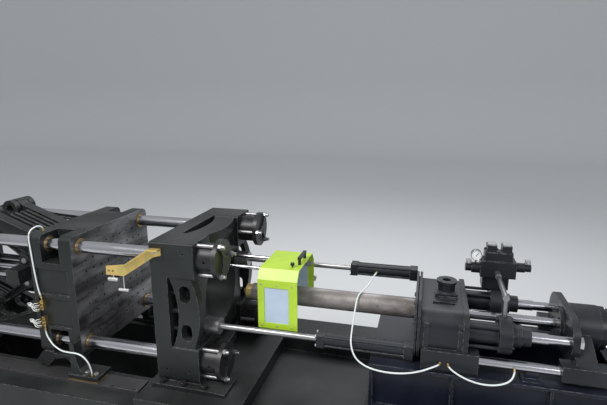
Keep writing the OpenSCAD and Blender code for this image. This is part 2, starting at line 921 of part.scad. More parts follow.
// rear link drawn along +X from its rear pivot, then turned to its rest angle
module rear_link_shape() {
    translate([a_x, 0, pivot_z])
        rotate([0, -rear_deg, 0])
            difference() {
                union() {
                    for (b = rear_plates)
                        both_sides() {
                            ycyl(b[0], b[1], eye_d, 0, 0);
                            ycyl(b[0], b[1], eye_d, rear_len, 0);
                            span(0, rear_len, b[0], b[1], -42, 50);
                            if (b[0] < 100)
                                side_plate(b[0], b[1], [[d_along - 95, -30], [d_along - 36, -d_off - 20],
                                    [d_along + 36, -d_off - 20], [d_along + 80, -30]]);
                            ycyl(b[0], b[1], b[0] < 100 ? small_eye : 10, d_along, b[0] < 100 ? -d_off : 0);
                        }
                    // cross web and ribs
                    span(90, 250, -181, 181, -12, 12);
                    for (y = [-150, -120, 120, 150])
                        span(90, 250, y - 7, y + 7, -34, 34);
                }
                ycyl(-300, 300, pin_d + 2 * fit, 0, 0);
                ycyl(-300, 300, pin_d + 2 * fit, rear_len, 0);
                ycyl(-300, 300, small_pin + 2 * fit, d_along, -d_off);
                for (b = rear_plates)
                    for (s = signs)
                        scale_y(s)
                            for (x = [300, 365])
                                if (b[0] > 100)
                                    ycyl(b[0] - 1, b[1] + 1, 44, x, 0);
            }
}

module rear_link_upper() {
    color([0.19, 0.2, 0.2]) at_axis()
        rear_link_shape();
}

module rear_link_lower() {
    color([0.19, 0.2, 0.2]) at_axis()
        mirror([0, 0, 1])
            rear_link_shape();
}

// front link drawn along -X from its front pivot, then turned to its rest angle
module front_link_shape() {
    translate([c_x, 0, pivot_z])
        rotate([0, front_deg, 0])
            difference() {
                union() {
                    for (b = front_plates)
                        both_sides() {
                            ycyl(b[0] + 0.5, b[1] - 0.5, eye_d, 0, 0);
                            ycyl(b[0] + 0.5, b[1] - 0.5, eye_d, -front_len, 0);
                            span(-front_len, 0, b[0] + 0.5, b[1] - 0.5, -40, 46);
                        }
                    span(-front_len + 120, -110, -101, 101, -14, 14);
                    for (y = [-66, -22, 22, 66])
                        span(-front_len + 120, -110, y - 9, y + 9, -36, 46);
                }
                ycyl(-300, 300, pin_d + 2 * fit, 0, 0);
                ycyl(-300, 300, pin_d + 2 * fit, -front_len, 0);
            }
}

module front_link_upper() {
    color([0.19, 0.2, 0.2]) at_axis()
        front_link_shape();
}

module front_link_lower() {
    color([0.19, 0.2, 0.2]) at_axis()
        mirror([0, 0, 1])
            front_link_shape();
}

// short link from the crosshead back to the rear link
module crosshead_link_shape() {
    slope = atan2(d_z - e_z, e_x - d_x);
    translate([e_x, 0, e_z])
        rotate([0, slope, 0])
            difference() {
                union() {
                    ycyl(-41.5, 41.5, small_eye - 4, 0, 0);
                    ycyl(-41.5, 41.5, small_eye - 4, -link_len, 0);
                    span(-link_len, 0, -41.5, 41.5, -26, 26);
                }
                ycyl(-60, 60, small_pin + 2 * fit, 0, 0);
                ycyl(-60, 60, small_pin + 2 * fit, -link_len, 0);
                for (s = signs)
                    scale_y(s)
                        span(-link_len + 70, -70, 16, 42, -16, 16);
            }
}

module crosshead_link_upper() {
    color([0.22, 0.23, 0.24]) at_axis()
        crosshead_link_shape();
}

module crosshead_link_lower() {
    color([0.22, 0.23, 0.24]) at_axis()
        mirror([0, 0, 1])
            crosshead_link_shape();
}

// guard outline in the YZ plane: open bottom, sloped shoulders, flat top
module guard_outline(inset) {
    polygon([[-g_half + inset, g_low - (inset > 0 ? 10 : 0)], [-g_half + inset, g_shoulder - inset * 0.4],
        [-g_half + g_slope + inset * 0.4, g_top - inset], [g_half - g_slope - inset * 0.4, g_top - inset],
        [g_half - inset, g_shoulder - inset * 0.4], [g_half - inset, g_low - (inset > 0 ? 10 : 0)]]);
}

module guard_sheet(x0, x1, inset) {
    translate([x0, 0, 0])
        rotate([90, 0, 90])
            linear_extrude(x1 - x0)
                guard_outline(inset);
}

module guard_shell() {
    color([0.72, 0.85, 0.2]) at_axis()
        difference() {
            union() {
                difference() {
                    guard_sheet(gx0, gx1, 0);
                    guard_sheet(gx0 + guard_wall, gx1 + 1, guard_wall);
                }
                both_sides()
                    span(gx0 + 60, gx0 + 110, guard_rod_y - 24, guard_rod_y + 24, guard_rod_z - 22, g_top - guard_wall + 1);
            }
            for (y = [-guard_rod_y, guard_rod_y])
                xcyl(gx0 - 1, gx0 + 111, guard_rod_d + 2 * fit, y, guard_rod_z);
            // way for the barrel and nozzle through the front wall
            xcyl(gx0 - 1, gx0 + 20, barrel_d + 44);
            span(gx0 - 1, gx0 + 20, -barrel_d / 2 - 22, barrel_d / 2 + 22, g_low - 1, 0);
            for (s = signs)
                scale_y(s)
                    span(win_x0, win_x1, g_half - guard_wall - 1, g_half + 1, win_z0, win_z1);
        }
}

module guard_windows() {
    color([0.72, 0.8, 0.86]) at_axis()
        both_sides()
            span(win_x0 - 12, win_x1 + 12, g_half - guard_wall - 5, g_half - guard_wall, win_z0 - 12, win_z1 + 12);
}

module guard_handle() {
    color([0.06, 0.06, 0.06]) at_axis() {
        // bridge handle along Y near the open end
        for (y = [-60, 60])
            zcyl(g_top, g_top + 34, 18, gx1 - 24, y);
        span(gx1 - 33, gx1 - 15, -69, 69, g_top + 30, g_top + 46);
        // small knob
        zcyl(g_top, g_top + 14, 10, gx1 - 52, -110);
        zcyl(g_top + 12, g_top + 26, 24, gx1 - 52, -110);
    }
}

module guard_latches() {
    color([0.8, 0.8, 0.79]) at_axis() {
        for (z = [20, -60]) {
            span(gx1 - 34, gx1 + 10, g_half, g_half + 12, z, z + 34);
            span(gx1 + 2, gx1 + 12, g_half + 4, g_half + 30, z + 6, z + 28);
        }
        // interlock switch inside the far panel
        span(gx1 - 40, gx1 - 8, g_half - guard_wall - 24, g_half - guard_wall, 132, 160);
        xcyl(gx1 - 9, gx1 + 10, 12, g_half - 16, 146);
    }
}

module carriage_housing() {
    color([0.17, 0.19, 0.21]) at_axis()
        difference() {
            union() {
                round_plate(housing_x0, housing_x1, -283, 283, housing_low, housing_top, 84);
                round_plate(housing_x1 - 26, housing_x1, -300, 300, housing_low - 6, housing_top + 8, 84);
                both_sides()
                    span(housing_x0 + 10, housing_x1 + 54, rail_y - 42, rail_y + 42, base_top + gap, -rail_drop + 46);
                span(throat_x - 60, throat_x + 60, -60, 60, housing_top - 4, housing_top + 10);
                // raised straps on the near face
                for (x = [1472, 1644])
                    span(x, x + 26, -292, -270, -84, 60);
            }
            xcyl(housing_x0 - 1, housing_x1 + 1, barrel_d + 2 * fit);
            for (y = [-rail_y, rail_y])
                xcyl(rail_x0, housing_x1 + 60, rail_d + 2 * fit, y, -rail_drop);
            zcyl(0, housing_top + 20, throat_d + 14, throat_x, 0);
            // recessed slots on the top
            span(throat_x - 70, throat_x + 44, -150, -112, housing_top - 14, housing_top + 20);
            for (y = [-cyl_y, cyl_y])
                xcyl(housing_x1 - 40, housing_x1 + 1, 58, y, inj_z);
            for (x = [1485, 1657])
                for (z = [-60, 36])
                    ycyl(-295, -280, 12, x, z);
        }
}

module barrel_flange() {
    color([0.17, 0.19, 0.21]) at_axis()
        difference() {
            union() {
                round_plate(flange_x0, flange_x0 + 12, -296, 296, -186, 150, 120);
                round_plate(flange_x0 + 12 - eps, flange_x0 + 18, -270, 270, -160, 124, 100);
                round_plate(flange_x0 + 18 - eps, housing_x0, -296, 296, -186, 150, 120);
            }
            xcyl(flange_x0 - 1, housing_x0 + 1, barrel_d + 2 * fit);
            for (a = [0 : 45 : 315])
                translate([flange_x0, 0, 0])
                    rotate([a, 0, 0])
                        translate([-1, 0, 84])
                            rotate([0, 90, 0])
                                cylinder(h = 10, d = 26);
        }
}

module barrel() {
    color([0.5, 0.45, 0.43]) at_axis()
        difference() {
            union() {
                xcyl(barrel_x0, barrel_x1, barrel_d);
                xcyl(barrel_x0 - 26, barrel_x0 + eps, barrel_d - 14);
            }
            xcyl(barrel_x0 - 27, barrel_x1 + 1, screw_d + 2 * fit);
            zcyl(0, barrel_d, throat_d, throat_x, 0);
        }
}

module nozzle() {
    color([0.66, 0.62, 0.34]) at_axis()
        difference() {
            union() {
                xcyl(nozzle_tip + 22, barrel_x0 - 26, 88);
                translate([nozzle_tip, 0, 0])
                    rotate([0, 90, 0])
                        cylinder(h = 22 + eps, d1 = 30, d2 = 62);
            }
            xcyl(nozzle_tip - 1, barrel_x0, 6);
            translate([nozzle_tip + 30, 0, 0])
                rotate([0, 90, 0])
                    cylinder(h = barrel_x0 - nozzle_tip - 55, d1 = 6, d2 = screw_d + 8);
        }
}

module hopper_throat() {
    color([0.15, 0.17, 0.19]) at_axis()
        difference() {
            union() {
                span(throat_x - 58, throat_x + 58, -58, 58, housing_top + 10, housing_top + 24);
                translate([throat_x, 0, housing_top + 23])
                    rotate([0, 0, 22.5])
                        cylinder(h = 52, d = 96, $fn = 8);
                zcyl(throat_top - 14, throat_top, 108, throat_x, 0);
            }
            zcyl(housing_top, throat_top + 1, throat_d, throat_x, 0);
            for (a = [45 : 90 : 315])
                translate([throat_x + 41 * cos(a), 41 * sin(a), throat_top - 15])
                    cylinder(h = 20, d = 9);
        }
}

// square-ended carriage cylinder between x0 and the barrel flange
module pull_cylinder(x0, p) {
    difference() {
        union() {
            span(x0, x0 + 44, p[0] - 36, p[0] + 36, p[1] - 36, p[1] + 36);
            span(flange_x0 - 46, flange_x0, p[0] - 36, p[0] + 36, p[1] - 36, p[1] + 36);
            xcyl(x0 + 43, flange_x0 - 45, 68, p[0], p[1]);
            for (dy = [-27, 27])
                for (dz = [-27, 27])
                    xcyl(x0 - 8, flange_x0 - 20, 11, p[0] + dy, p[1] + dz);
        }
        xcyl(x0 - 20, x0 + 30, pull_rod_d + 2 * fit, p[0], p[1]);
        xcyl(x0 + 29, flange_x0 - 30, 60, p[0], p[1]);
    }
}

module pull_cylinders() {
    color([0.16, 0.17, 0.18]) at_axis() {
        pull_cylinder(pull_x0, pull_near);
        pull_cylinder(pull_x0 + 109, pull_far);
    }
}

module injection_cylinders() {
    color([0.16, 0.18, 0.2]) at_axis()
        both_sides()
            difference() {
                union() {
                    xcyl(housing_x1, gland_x0 + 1, inj_tube_d, cyl_y, inj_z);
                    xcyl(gland_x0, gland_x1, 190, cyl_y, inj_z);
                    xcyl(gland_x1 - 1, 1946, 112, cyl_y, inj_z);
                    xcyl(1945, inj_end, 94, cyl_y, inj_z);
                    for (a = [45 : 90 : 315])
                        translate([0, cyl_y, inj_z])
                            rotate([a, 0, 0])
                                xcyl(housing_x1, gland_x0 + 1, 18, 0, 76);
                }
                xcyl(housing_x1 + 20, gland_x1 + 30, inj_rod_d + 30, cyl_y, inj_z);
                xcyl(gland_x1 + 29, inj_end + 1, inj_rod_d + 2 * fit, cyl_y, inj_z);
            }
}

module valve_block() {
    color([0.15, 0.16, 0.19]) at_axis() {
        // saddle on the far cylinder flange, manifold and valves
        span(gland_x0 - 50, gland_x1 + 30, cyl_y - 40, cyl_y + 60, inj_z + 95, 170);
        span(1770, 1960, cyl_y - 55, cyl_y + 55, 169, 262);
        span(1790, 1940, cyl_y - 40, cyl_y + 40, 261, 312);
        for (x = [1800, 1880])
            span(x, x + 52, cyl_y - 34, cyl_y + 34, 311, 352);
        xcyl(1724, 1771, 62, cyl_y - 10, 208);
        xcyl(1690, 1725, 46, cyl_y - 10, 208);
        xcyl(1959, 2010, 54, cyl_y, 224);
        xcyl(2009, 2042, 44, cyl_y, 224);
    }
}

module hydraulic_fittings() {
    color([0.7, 0.7, 0.7]) at_axis() {
        // gauge on its stem
        zcyl(239, 262, 10, 1745, cyl_y - 10);
        ycyl(cyl_y - 30, cyl_y + 2, 58, 1745, 288);
        // pipe from the manifold down to the near flange
        ycyl(cyl_y - 110, cyl_y - 55, 34, 1862, 196);
        ycyl(-cyl_y + 30, cyl_y - 109, 26, 1862, 196);
        ycyl(-cyl_y - 4, -cyl_y + 31, 34, 1862, 196);
        zcyl(inj_z + 95, 185, 26, 1862, -cyl_y + 10);
    }
}

module guide_rails() {
    color([0.82, 0.83, 0.85]) at_axis()
        for (y = [-rail_y, rail_y])
            xcyl(rail_x0, rail_x1, rail_d, y, -rail_drop);
}

module ram_housing() {
    color([0.16, 0.17, 0.19]) at_axis()
        difference() {
            union() {
                round_plate(ram_x0, ram_x1, -cyl_y - 48, cyl_y + 48, -118, 112, 100);
                xcyl(ram_x1 - 1, ram_x2, 230);
                xcyl(ram_x0 - 18, ram_x0 + 1, 180);
                for (s = signs)
                    scale_y(s) {
                        span(ram_x0 - 46, ram_x0 + 160, rail_y - 44, rail_y + 40, base_top + 30, -rail_drop + 44);
                        translate([ram_x0 + 20, 0, 0])
                            rotate([90, 0, 90])
                                linear_extrude(96)
                                    polygon([[60, 10], [104, 10], [rail_y + 40, -rail_drop + 30],
                                        [rail_y + 40, -rail_drop], [rail_y - 44, -rail_drop], [60, -96]]);
                    }
            }
            for (s = signs)
                scale_y(s) {
                    xcyl(ram_x0 - 60, ram_x2 + 20, rail_d + 2 * fit, rail_y, -rail_drop);
                    // slot that lets the foot pass the rail posts
                    span(ram_x0 - 60, ram_x2 + 20, rail_y - 17, rail_y + 17, base_top, -rail_drop - 10);
                    xcyl(ram_x0 - 1, ram_x1 + 1, inj_rod_d - 18, cyl_y, inj_z);
                }
            xcyl(ram_x0 - 20, ram_x2 + 1, screw_d + 2 * fit);
        }
}

module injection_rods() {
    color([0.83, 0.84, 0.86]) at_axis()
        both_sides() {
            xcyl(piston_x, ram_x0 - 100, inj_rod_d, cyl_y, inj_z);
            xcyl(ram_x0 - 101, ram_x0, inj_rod_d - 8, cyl_y, inj_z);
            xcyl(ram_x0 - 1, ram_x1 + 24, inj_rod_d - 18.1, cyl_y, inj_z);
            hex_bolt_x(ram_x1 + eps, 64, 22, cyl_y, inj_z);
            xcyl(piston_x - 26, piston_x, inj_rod_d + 29.8, cyl_y, inj_z);
        }
}

module drive_motor() {
    color([0.1, 0.11, 0.12]) at_axis()
        difference() {
            union() {
                xcyl(ram_x2, ram_x2 + 30, 224);
                xcyl(ram_x2 + 29, ram_x2 + 250, 190);
                xcyl(ram_x2 + 249, ram_x2 + 285, 212);
                xcyl(ram_x2 + 284, motor_x1, 120);
                for (a = [0 : 72 : 288])
                    rotate([a, 0, 0])
                        translate([ram_x2 + 60, -34, 80])
                            cube([150, 68, 38]);
                span(ram_x2 + 90, ram_x2 + 190, -45, 45, 100, 160);
            }
            xcyl(ram_x2 - 1, ram_x2 + 40, screw_d + 2 * gap);
        }
}

module screw() {
    color([0.82, 0.83, 0.85]) at_axis() {
        xcyl(screw_tip + 30, 1640, screw_d - 16);
        xcyl(1639, ram_x2 + 30, screw_d);
        // flights and the non-return ring
        for (x = [screw_tip + 110 : 50 : 1630])
            xcyl(x, x + 7, screw_d);
        xcyl(screw_tip + 40, screw_tip + 66, screw_d);
        translate([screw_tip, 0, 0])
            rotate([0, 90, 0])
                cylinder(h = 31, d1 = 12, d2 = screw_d - 16);
    }
}

module platen_hose() {
    color([0.86, 0.87, 0.86]) at_axis()
        route_tube(platen_hose_route, hose_d, 3);
}

module shoe_hose() {
    color([0.86, 0.87, 0.86]) at_axis()
        route_tube(shoe_hose_route, hose_d, 3);
}

module carriage_hose() {
    color([0.86, 0.87, 0.86]) at_axis()
        route_tube(carriage_hose_route, hose_d, 3);
}

module ram_hose() {
    color([0.86, 0.87, 0.86]) at_axis()
        route_tube(ram_hose_route, hose_d, 3);
}

bed_frame();
injection_base();
levelling_feet();
slideway_strips();
fixed_platen();
platen_bolts();
locating_ring();
tie_bars();
tie_bar_nuts();
retainer_discs();
retainer_fasteners();
rear_platen();
rear_pins();
clamp_cylinder();
crosshead_guides();
latch_bracket();
bracket_fittings();
guard_rods();
carriage_rods();
rail_posts();
moving_platen();
platen_bushes();
platen_shoes();
wear_plates();
front_pins();
grease_blocks();
ejector_cylinder();
ejector_rod();
crosshead();
clamp_rod();
crosshead_pins();
rear_link_upper();
rear_link_lower();
front_link_upper();
front_link_lower();
crosshead_link_upper();
crosshead_link_lower();
guard_shell();
guard_windows();
guard_handle();
guard_latches();
carriage_housing();
barrel_flange();
barrel();
nozzle();
hopper_throat();
pull_cylinders();
injection_cylinders();
valve_block();
hydraulic_fittings();
guide_rails();
ram_housing();
injection_rods();
drive_motor();
screw();
platen_hose();
shoe_hose();
carriage_hose();
ram_hose();
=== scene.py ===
"""Looks of the injection moulding machine: finishes, hoses, fittings and the stage."""
import math

import bpy
import numpy as np
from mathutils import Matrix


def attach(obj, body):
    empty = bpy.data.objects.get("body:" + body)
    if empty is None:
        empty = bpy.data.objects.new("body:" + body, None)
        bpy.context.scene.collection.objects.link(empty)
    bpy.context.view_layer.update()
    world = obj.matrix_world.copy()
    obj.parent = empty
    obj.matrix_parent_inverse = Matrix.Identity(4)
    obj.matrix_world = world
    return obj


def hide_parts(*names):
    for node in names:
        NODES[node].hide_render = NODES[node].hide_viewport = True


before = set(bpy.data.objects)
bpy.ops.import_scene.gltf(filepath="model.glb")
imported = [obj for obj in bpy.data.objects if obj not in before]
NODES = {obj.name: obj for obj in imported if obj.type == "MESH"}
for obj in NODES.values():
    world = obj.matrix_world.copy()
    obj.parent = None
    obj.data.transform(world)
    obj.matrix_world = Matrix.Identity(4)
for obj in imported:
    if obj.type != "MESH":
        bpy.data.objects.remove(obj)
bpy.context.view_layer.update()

bl_info = {
    "name": "Injection Moulding Machine",
    "version": (1, 0, 0),
    "blender": (4, 5, 0),
    "location": "View3D > Sidebar > Moulding",
    "description": "Dresses the machine's frame with finishes, hoses and fittings",
    "category": "Object",
}

# Places are given from the fixed mould face and the machine axis, as in the part's source
FACE_X = -0.080
AXIS_Z = 1.200
# Moving platen's mould face, from the fixed one
MOULD_GAP = 0.532
# Eye of the camera that took the photograph, in millimetres, and its turn in degrees
EYE = (1451, -2594, 1197)
PITCH_DOWN = 12.93
YAW_LEFT = 14.77
ROLL = 0.16


def at(points):
    """Points in millimetres from the fixed mould face and the machine axis, as metres in the row frame."""
    p = np.asarray(points, float).reshape(-1, 3) / 1000.0
    return p + np.array([FACE_X, 0.0, AXIS_Z])


# Sizes and colours that a user may change

class MouldingColours(bpy.types.PropertyGroup):
    """Finishes of the machine."""
    casting: bpy.props.FloatVectorProperty(
        name="Casting enamel", description="Charcoal enamel on platens, links and bed",
        subtype="COLOR", size=3, min=0, max=1, default=(0.0125, 0.0150, 0.0148))
    injection: bpy.props.FloatVectorProperty(
        name="Injection enamel", description="Blue-black enamel on the injection unit",
        subtype="COLOR", size=3, min=0, max=1, default=(0.0095, 0.0115, 0.0150))
    beam: bpy.props.FloatVectorProperty(
        name="Beam enamel", description="Navy enamel on the injection base",
        subtype="COLOR", size=3, min=0, max=1, default=(0.0062, 0.0085, 0.0175))
    guard: bpy.props.FloatVectorProperty(
        name="Guard coat", description="Lime-green powder coat of the nozzle guard",
        subtype="COLOR", size=3, min=0, max=1, default=(0.50, 0.74, 0.035))
    pane: bpy.props.FloatVectorProperty(
        name="Guard pane", description="Frosted sheet behind the guard's windows",
        subtype="COLOR", size=3, min=0, max=1, default=(0.47, 0.58, 0.70))
    zinc: bpy.props.FloatVectorProperty(
        name="Yellow zinc", description="Passivated zinc of the latch bracket",
        subtype="COLOR", size=3, min=0, max=1, default=(0.76, 0.54, 0.17))
    machined: bpy.props.FloatVectorProperty(
        name="Machined face", description="Bare machined mould faces",
        subtype="COLOR", size=3, min=0, max=1, default=(0.115, 0.115, 0.12))
    hose: bpy.props.FloatVectorProperty(
        name="Hose", description="White nylon grease hose",
        subtype="COLOR", size=3, min=0, max=1, default=(0.72, 0.76, 0.76))
    floor: bpy.props.FloatVectorProperty(
        name="Floor", description="Plain pale floor and backdrop",
        subtype="COLOR", size=3, min=0, max=1, default=(0.72, 0.73, 0.74))


class MouldingSizes(bpy.types.PropertyGroup):
    """Sizes of the small pieces and of the view."""
    hose_d: bpy.props.FloatProperty(
        name="Hose diameter", description="Outside diameter of the white grease hoses",
        unit="LENGTH", default=0.009, min=0.004, max=0.02)
    edge: bpy.props.FloatProperty(
        name="Cast edge", description="Radius at which cast edges look rounded",
        unit="LENGTH", default=0.006, min=0.0, max=0.02)
    lens: bpy.props.FloatProperty(
        name="Lens", description="Focal length of the view, in millimetres", default=28.3, min=15, max=80)


def colours():
    return bpy.context.scene.moulding_colours


def sizes():
    return bpy.context.scene.moulding_sizes


# Shader expressions

class Val:
    """A shader socket that adds Math nodes when it is used in an expression."""

    def __init__(self, tree, socket):
        self.tree = tree
        self.socket = socket

    def math(self, operation, *others):
        return self.tree.node("ShaderNodeMath", {"operation": operation}, [self, *others])

    def __add__(self, other):
        return self.math("ADD", other)

    def __mul__(self, other):
        return self.math("MULTIPLY", other)

    def __sub__(self, other):
        return self.math("SUBTRACT", other)

    def __rsub__(self, other):
        return self.tree.node("ShaderNodeMath", {"operation": "SUBTRACT"}, [other, self])

    def __abs__(self):
        return self.math("ABSOLUTE")

    __radd__ = __add__
    __rmul__ = __mul__

    def step(self, low, high):
        """0 below low, 1 above high, smooth between."""
        return self.tree.node("ShaderNodeMapRange", {"interpolation_type": "SMOOTHSTEP"},
                              [self, low, high, 0.0, 1.0])


class Shader:
    """One material's node tree, with a principled surface."""

    def __init__(self, name, **constants):
        self.material = bpy.data.materials.new(name)
        self.material.use_nodes = True
        self.tree = self.material.node_tree
        self.surface = next(n for n in self.tree.nodes if n.type == "BSDF_PRINCIPLED")
        for key, value in constants.items():
            self.surface.inputs[key.replace("_", " ")].default_value = value
        self.place = self.node("ShaderNodeTexCoord", {}, [], "Object")

    def node(self, kind, settings, values, output=0):
        """Adds a node: settings first, then each input's value or link in order, and gives one output."""
        n = self.tree.nodes.new(kind)
        for key, value in settings.items():
            setattr(n, key, value)
        for i, value in (values.items() if isinstance(values, dict) else enumerate(values)):
            if isinstance(value, Val):
                self.tree.links.new(value.socket, n.inputs[i])
            elif value is not None:
                n.inputs[i].default_value = value
        return Val(self, n.outputs[output])

    def noise(self, scale, detail=3.0, rough=0.55, stretch=None):
        place = self.place
        if stretch:
            place = self.node("ShaderNodeMapping", {}, {0: self.place, 3: stretch})
        return self.node("ShaderNodeTexNoise", {}, {0: place, 2: scale, 3: detail, 4: rough})

    def cells(self, scale):
        return self.node("ShaderNodeTexVoronoi", {}, {0: self.place, 2: scale})

    def mix(self, factor, a, b):
        """Colour a where factor is 0, b where it is 1."""
        def four(c):
            return (*c, 1.0) if not isinstance(c, Val) and len(c) == 3 else c
        return self.node("ShaderNodeMix", {"data_type": "RGBA"}, {0: factor, 6: four(a), 7: four(b)}, 2)

    def axis(self, letter):
        return self.node("ShaderNodeSeparateXYZ", {}, [self.place], "XYZ".index(letter))

    def up(self):
        """How far the surface faces up, from 0 to 1."""
        normal = self.node("ShaderNodeNewGeometry", {}, [], "Normal")
        return self.node("ShaderNodeSeparateXYZ", {}, [normal], 2)

    def rounded(self, radius):
        """Normal as if edges were rounded, and a mask that is 1 on the edges."""
        soft = self.node("ShaderNodeBevel", {"samples": 4}, [radius])
        true = self.node("ShaderNodeNewGeometry", {}, [], "Normal")
        dot = self.node("ShaderNodeVectorMath", {"operation": "DOT_PRODUCT"}, [soft, true], "Value")
        return soft, (1.0 - dot).step(0.02, 0.25)

    def put(self, socket, value):
        self.tree.links.new(value.socket, self.surface.inputs[socket])

    def bump(self, height, strength, distance, normal=None):
        values = {"Strength": strength, "Distance": distance, "Height": height, "Normal": normal}
        self.put("Normal", self.node("ShaderNodeBump", {}, values))


# Finishes

# Bare grey that shows where enamel is rubbed off an edge, and also a painted highlight along the edge
EDGE_WEAR_AND_HIGHLIGHT = (0.34, 0.34, 0.33)
ENAMEL_SHINE = 0.36


def enamel(s, colour, dust):
    """Colour of brushed enamel on a casting, with its masks for the skin, the patches and the tops."""
    soft, edge = s.rounded(sizes().edge)
    patches = s.noise(3.0, 4.0)
    fine = s.noise(60.0, 3.0)
    top = s.up().step(0.25, 0.95)
    base = s.mix(patches.step(0.40, 0.70), colour, tuple(1.55 * c + 0.004 for c in colour))
    base = s.mix(top * patches.step(0.30, 0.75) * dust, base, tuple(0.05 + 1.5 * c for c in colour))
    # paler edges: enamel rubbed off, and also a painted highlight along each edge
    base = s.mix(edge * fine.step(0.40, 0.62) * 0.75, base, EDGE_WEAR_AND_HIGHLIGHT)
    skin = fine * 0.6 + s.noise(9.0, 3.0) * 0.8
    return base, soft, skin, patches, top


def casting(name, colour, rough=0.42, dust=0.35, grain=0.0012):
    """Enamel on a sand casting: pebbled skin, dusty tops, paler edges that are rubbed and also carry a
    painted highlight.
    """
    s = Shader(name, Specular_IOR_Level=ENAMEL_SHINE)
    base, soft, skin, patches, top = enamel(s, colour, dust)
    s.put("Base Color", base)
    s.put("Roughness", rough + patches * 0.22 + top * 0.12 - 0.12)
    s.bump(skin, 0.5, grain, soft)
    return s.material


def chromed(name, colour=(0.58, 0.58, 0.61), rough=0.13):
    """Ground and hard-chromed bar: fine grinding rings, a coat of oil in patches, and darker streaks along
    the bar that are oil and also painted dark reflection bands.
    """
    s = Shader(name, Metallic=1.0)
    rings = s.noise(9.0, 2.0, 0.6, (140.0, 1.0, 1.0))
    oil_film_and_reflection_bands = s.noise(4.0, 4.0, 0.6, (1.0, 3.0, 3.0))
    # darker streaks along the bar's axis: oil, and also painted dark reflection bands
    s.put("Base Color", s.mix(oil_film_and_reflection_bands.step(0.45, 0.72) * 0.5, colour, (0.36, 0.36, 0.39)))
    s.put("Roughness", rough + rings * 0.07 + oil_film_and_reflection_bands.step(0.5, 0.75) * 0.12)
    s.bump(rings, 0.12, 0.0002)
    return s.material


def bare_steel(name, colour, rough=0.34, blotch=0.5, worn=(0.30, 0.30, 0.30)):
    """Machined steel: tool marks along one way, handling stains in soft patches."""
    s = Shader(name, Metallic=0.85)
    soft, edge = s.rounded(0.002)
    marks = s.noise(14.0, 3.0, 0.6, (1.0, 22.0, 1.0))
    stain = s.noise(5.0, 5.0, 0.62)
    dark = tuple(0.45 * c for c in colour)
    base = s.mix(stain.step(0.38, 0.66) * blotch, colour, dark)
    base = s.mix(marks.step(0.35, 0.8) * 0.35, base, tuple(min(1.0, 1.5 * c) for c in colour))
    base = s.mix(edge * 0.5, base, worn)
    s.put("Base Color", base)
    s.put("Roughness", rough + stain * 0.2 - 0.05)
    s.bump(marks, 0.15, 0.0004, soft)
    return s.material


def blackened(name, colour=(0.022, 0.022, 0.024)):
    """Oil-blackened steel with paler edges, rubbed and also with a painted highlight."""
    s = Shader(name, Metallic=0.6)
    soft, edge = s.rounded(0.002)
    fog = s.noise(22.0, 4.0)
    # paler edges: rubbed steel, and also a painted highlight along each edge
    s.put("Base Color", s.mix(edge * fog.step(0.35, 0.6) * 0.7, s.mix(fog, colour, (0.05, 0.05, 0.052)),
                              (0.26, 0.26, 0.26)))
    s.put("Roughness", 0.26 + fog * 0.25)
    s.bump(fog, 0.15, 0.0003, soft)
    return s.material


def powder_coat(name, colour):
    """Smooth powder coat with a slight orange peel and dusty flats."""
    s = Shader(name, Coat_Weight=0.25, Coat_Roughness=0.2)
    soft, edge = s.rounded(0.003)
    peel = s.cells(420.0)
    fog = s.noise(6.0, 4.0)
    shade = tuple(0.86 * c for c in colour)
    s.put("Base Color", s.mix(fog.step(0.35, 0.7), colour, shade))
    s.put("Roughness", 0.36 + fog * 0.12 + edge * 0.05)
    s.bump(peel + s.noise(2.0, 2.0) * 2.0, 0.06, 0.0005, soft)
    return s.material


def zinc_plate(name, colour):
    """Yellow passivated zinc: greenish and rosy clouds on a soft metal sheen."""
    s = Shader(name, Metallic=0.55)
    soft, edge = s.rounded(0.002)
    cloud = s.noise(14.0, 4.0, 0.6)
    tint = s.noise(7.0, 2.0)
    base = s.mix(cloud.step(0.35, 0.7), colour, (0.55, 0.47, 0.16))
    base = s.mix(tint.step(0.5, 0.75) * 0.5, base, (0.80, 0.46, 0.24))
    # paler edges: wear, and also a painted highlight along each edge
    s.put("Base Color", s.mix(edge * 0.35, base, (0.75, 0.68, 0.45)))
    s.put("Roughness", 0.30 + cloud * 0.22)
    s.bump(cloud, 0.08, 0.0004, soft)
    return s.material


def scorched_barrel(name):
    """Bare turned barrel: warm grey, browner towards the flange, fine lathe rings and rubbed spots."""
    s = Shader(name, Metallic=0.35)
    rings = s.noise(20.0, 2.0, 0.6, (60.0, 1.0, 1.0))
    cloud = s.noise(6.0, 5.0, 0.65, (1.0, 2.0, 2.0))
    spots = s.noise(40.0, 4.0, 0.6)
    heat = s.axis("X").step(0.95, 1.40)
    base = s.mix(cloud.step(0.35, 0.68), (0.34, 0.315, 0.305), (0.215, 0.195, 0.185))
    base = s.mix(heat * cloud.step(0.3, 0.6) * 0.6, base, (0.10, 0.085, 0.075))
    base = s.mix(spots.step(0.62, 0.72) * 0.45, base, (0.12, 0.085, 0.07))
    s.put("Base Color", base)
    s.put("Roughness", 0.38 + cloud * 0.25)
    s.bump(rings + spots * 0.4, 0.2, 0.0004)
    return s.material


def frosted(name, colour):
    """Frosted sheet with faint scratches."""
    s = Shader(name, Coat_Weight=0.2, Coat_Roughness=0.3)
    haze = s.noise(8.0, 4.0)
    scratch = s.noise(60.0, 2.0, 0.5, (1.0, 1.0, 14.0))
    s.put("Base Color", s.mix(haze.step(0.35, 0.7) * 0.6, colour, tuple(min(1.0, 1.18 * c) for c in colour)))
    s.put("Roughness", 0.28 + scratch.step(0.5, 0.8) * 0.3)
    s.bump(scratch, 0.05, 0.0003)
    return s.material


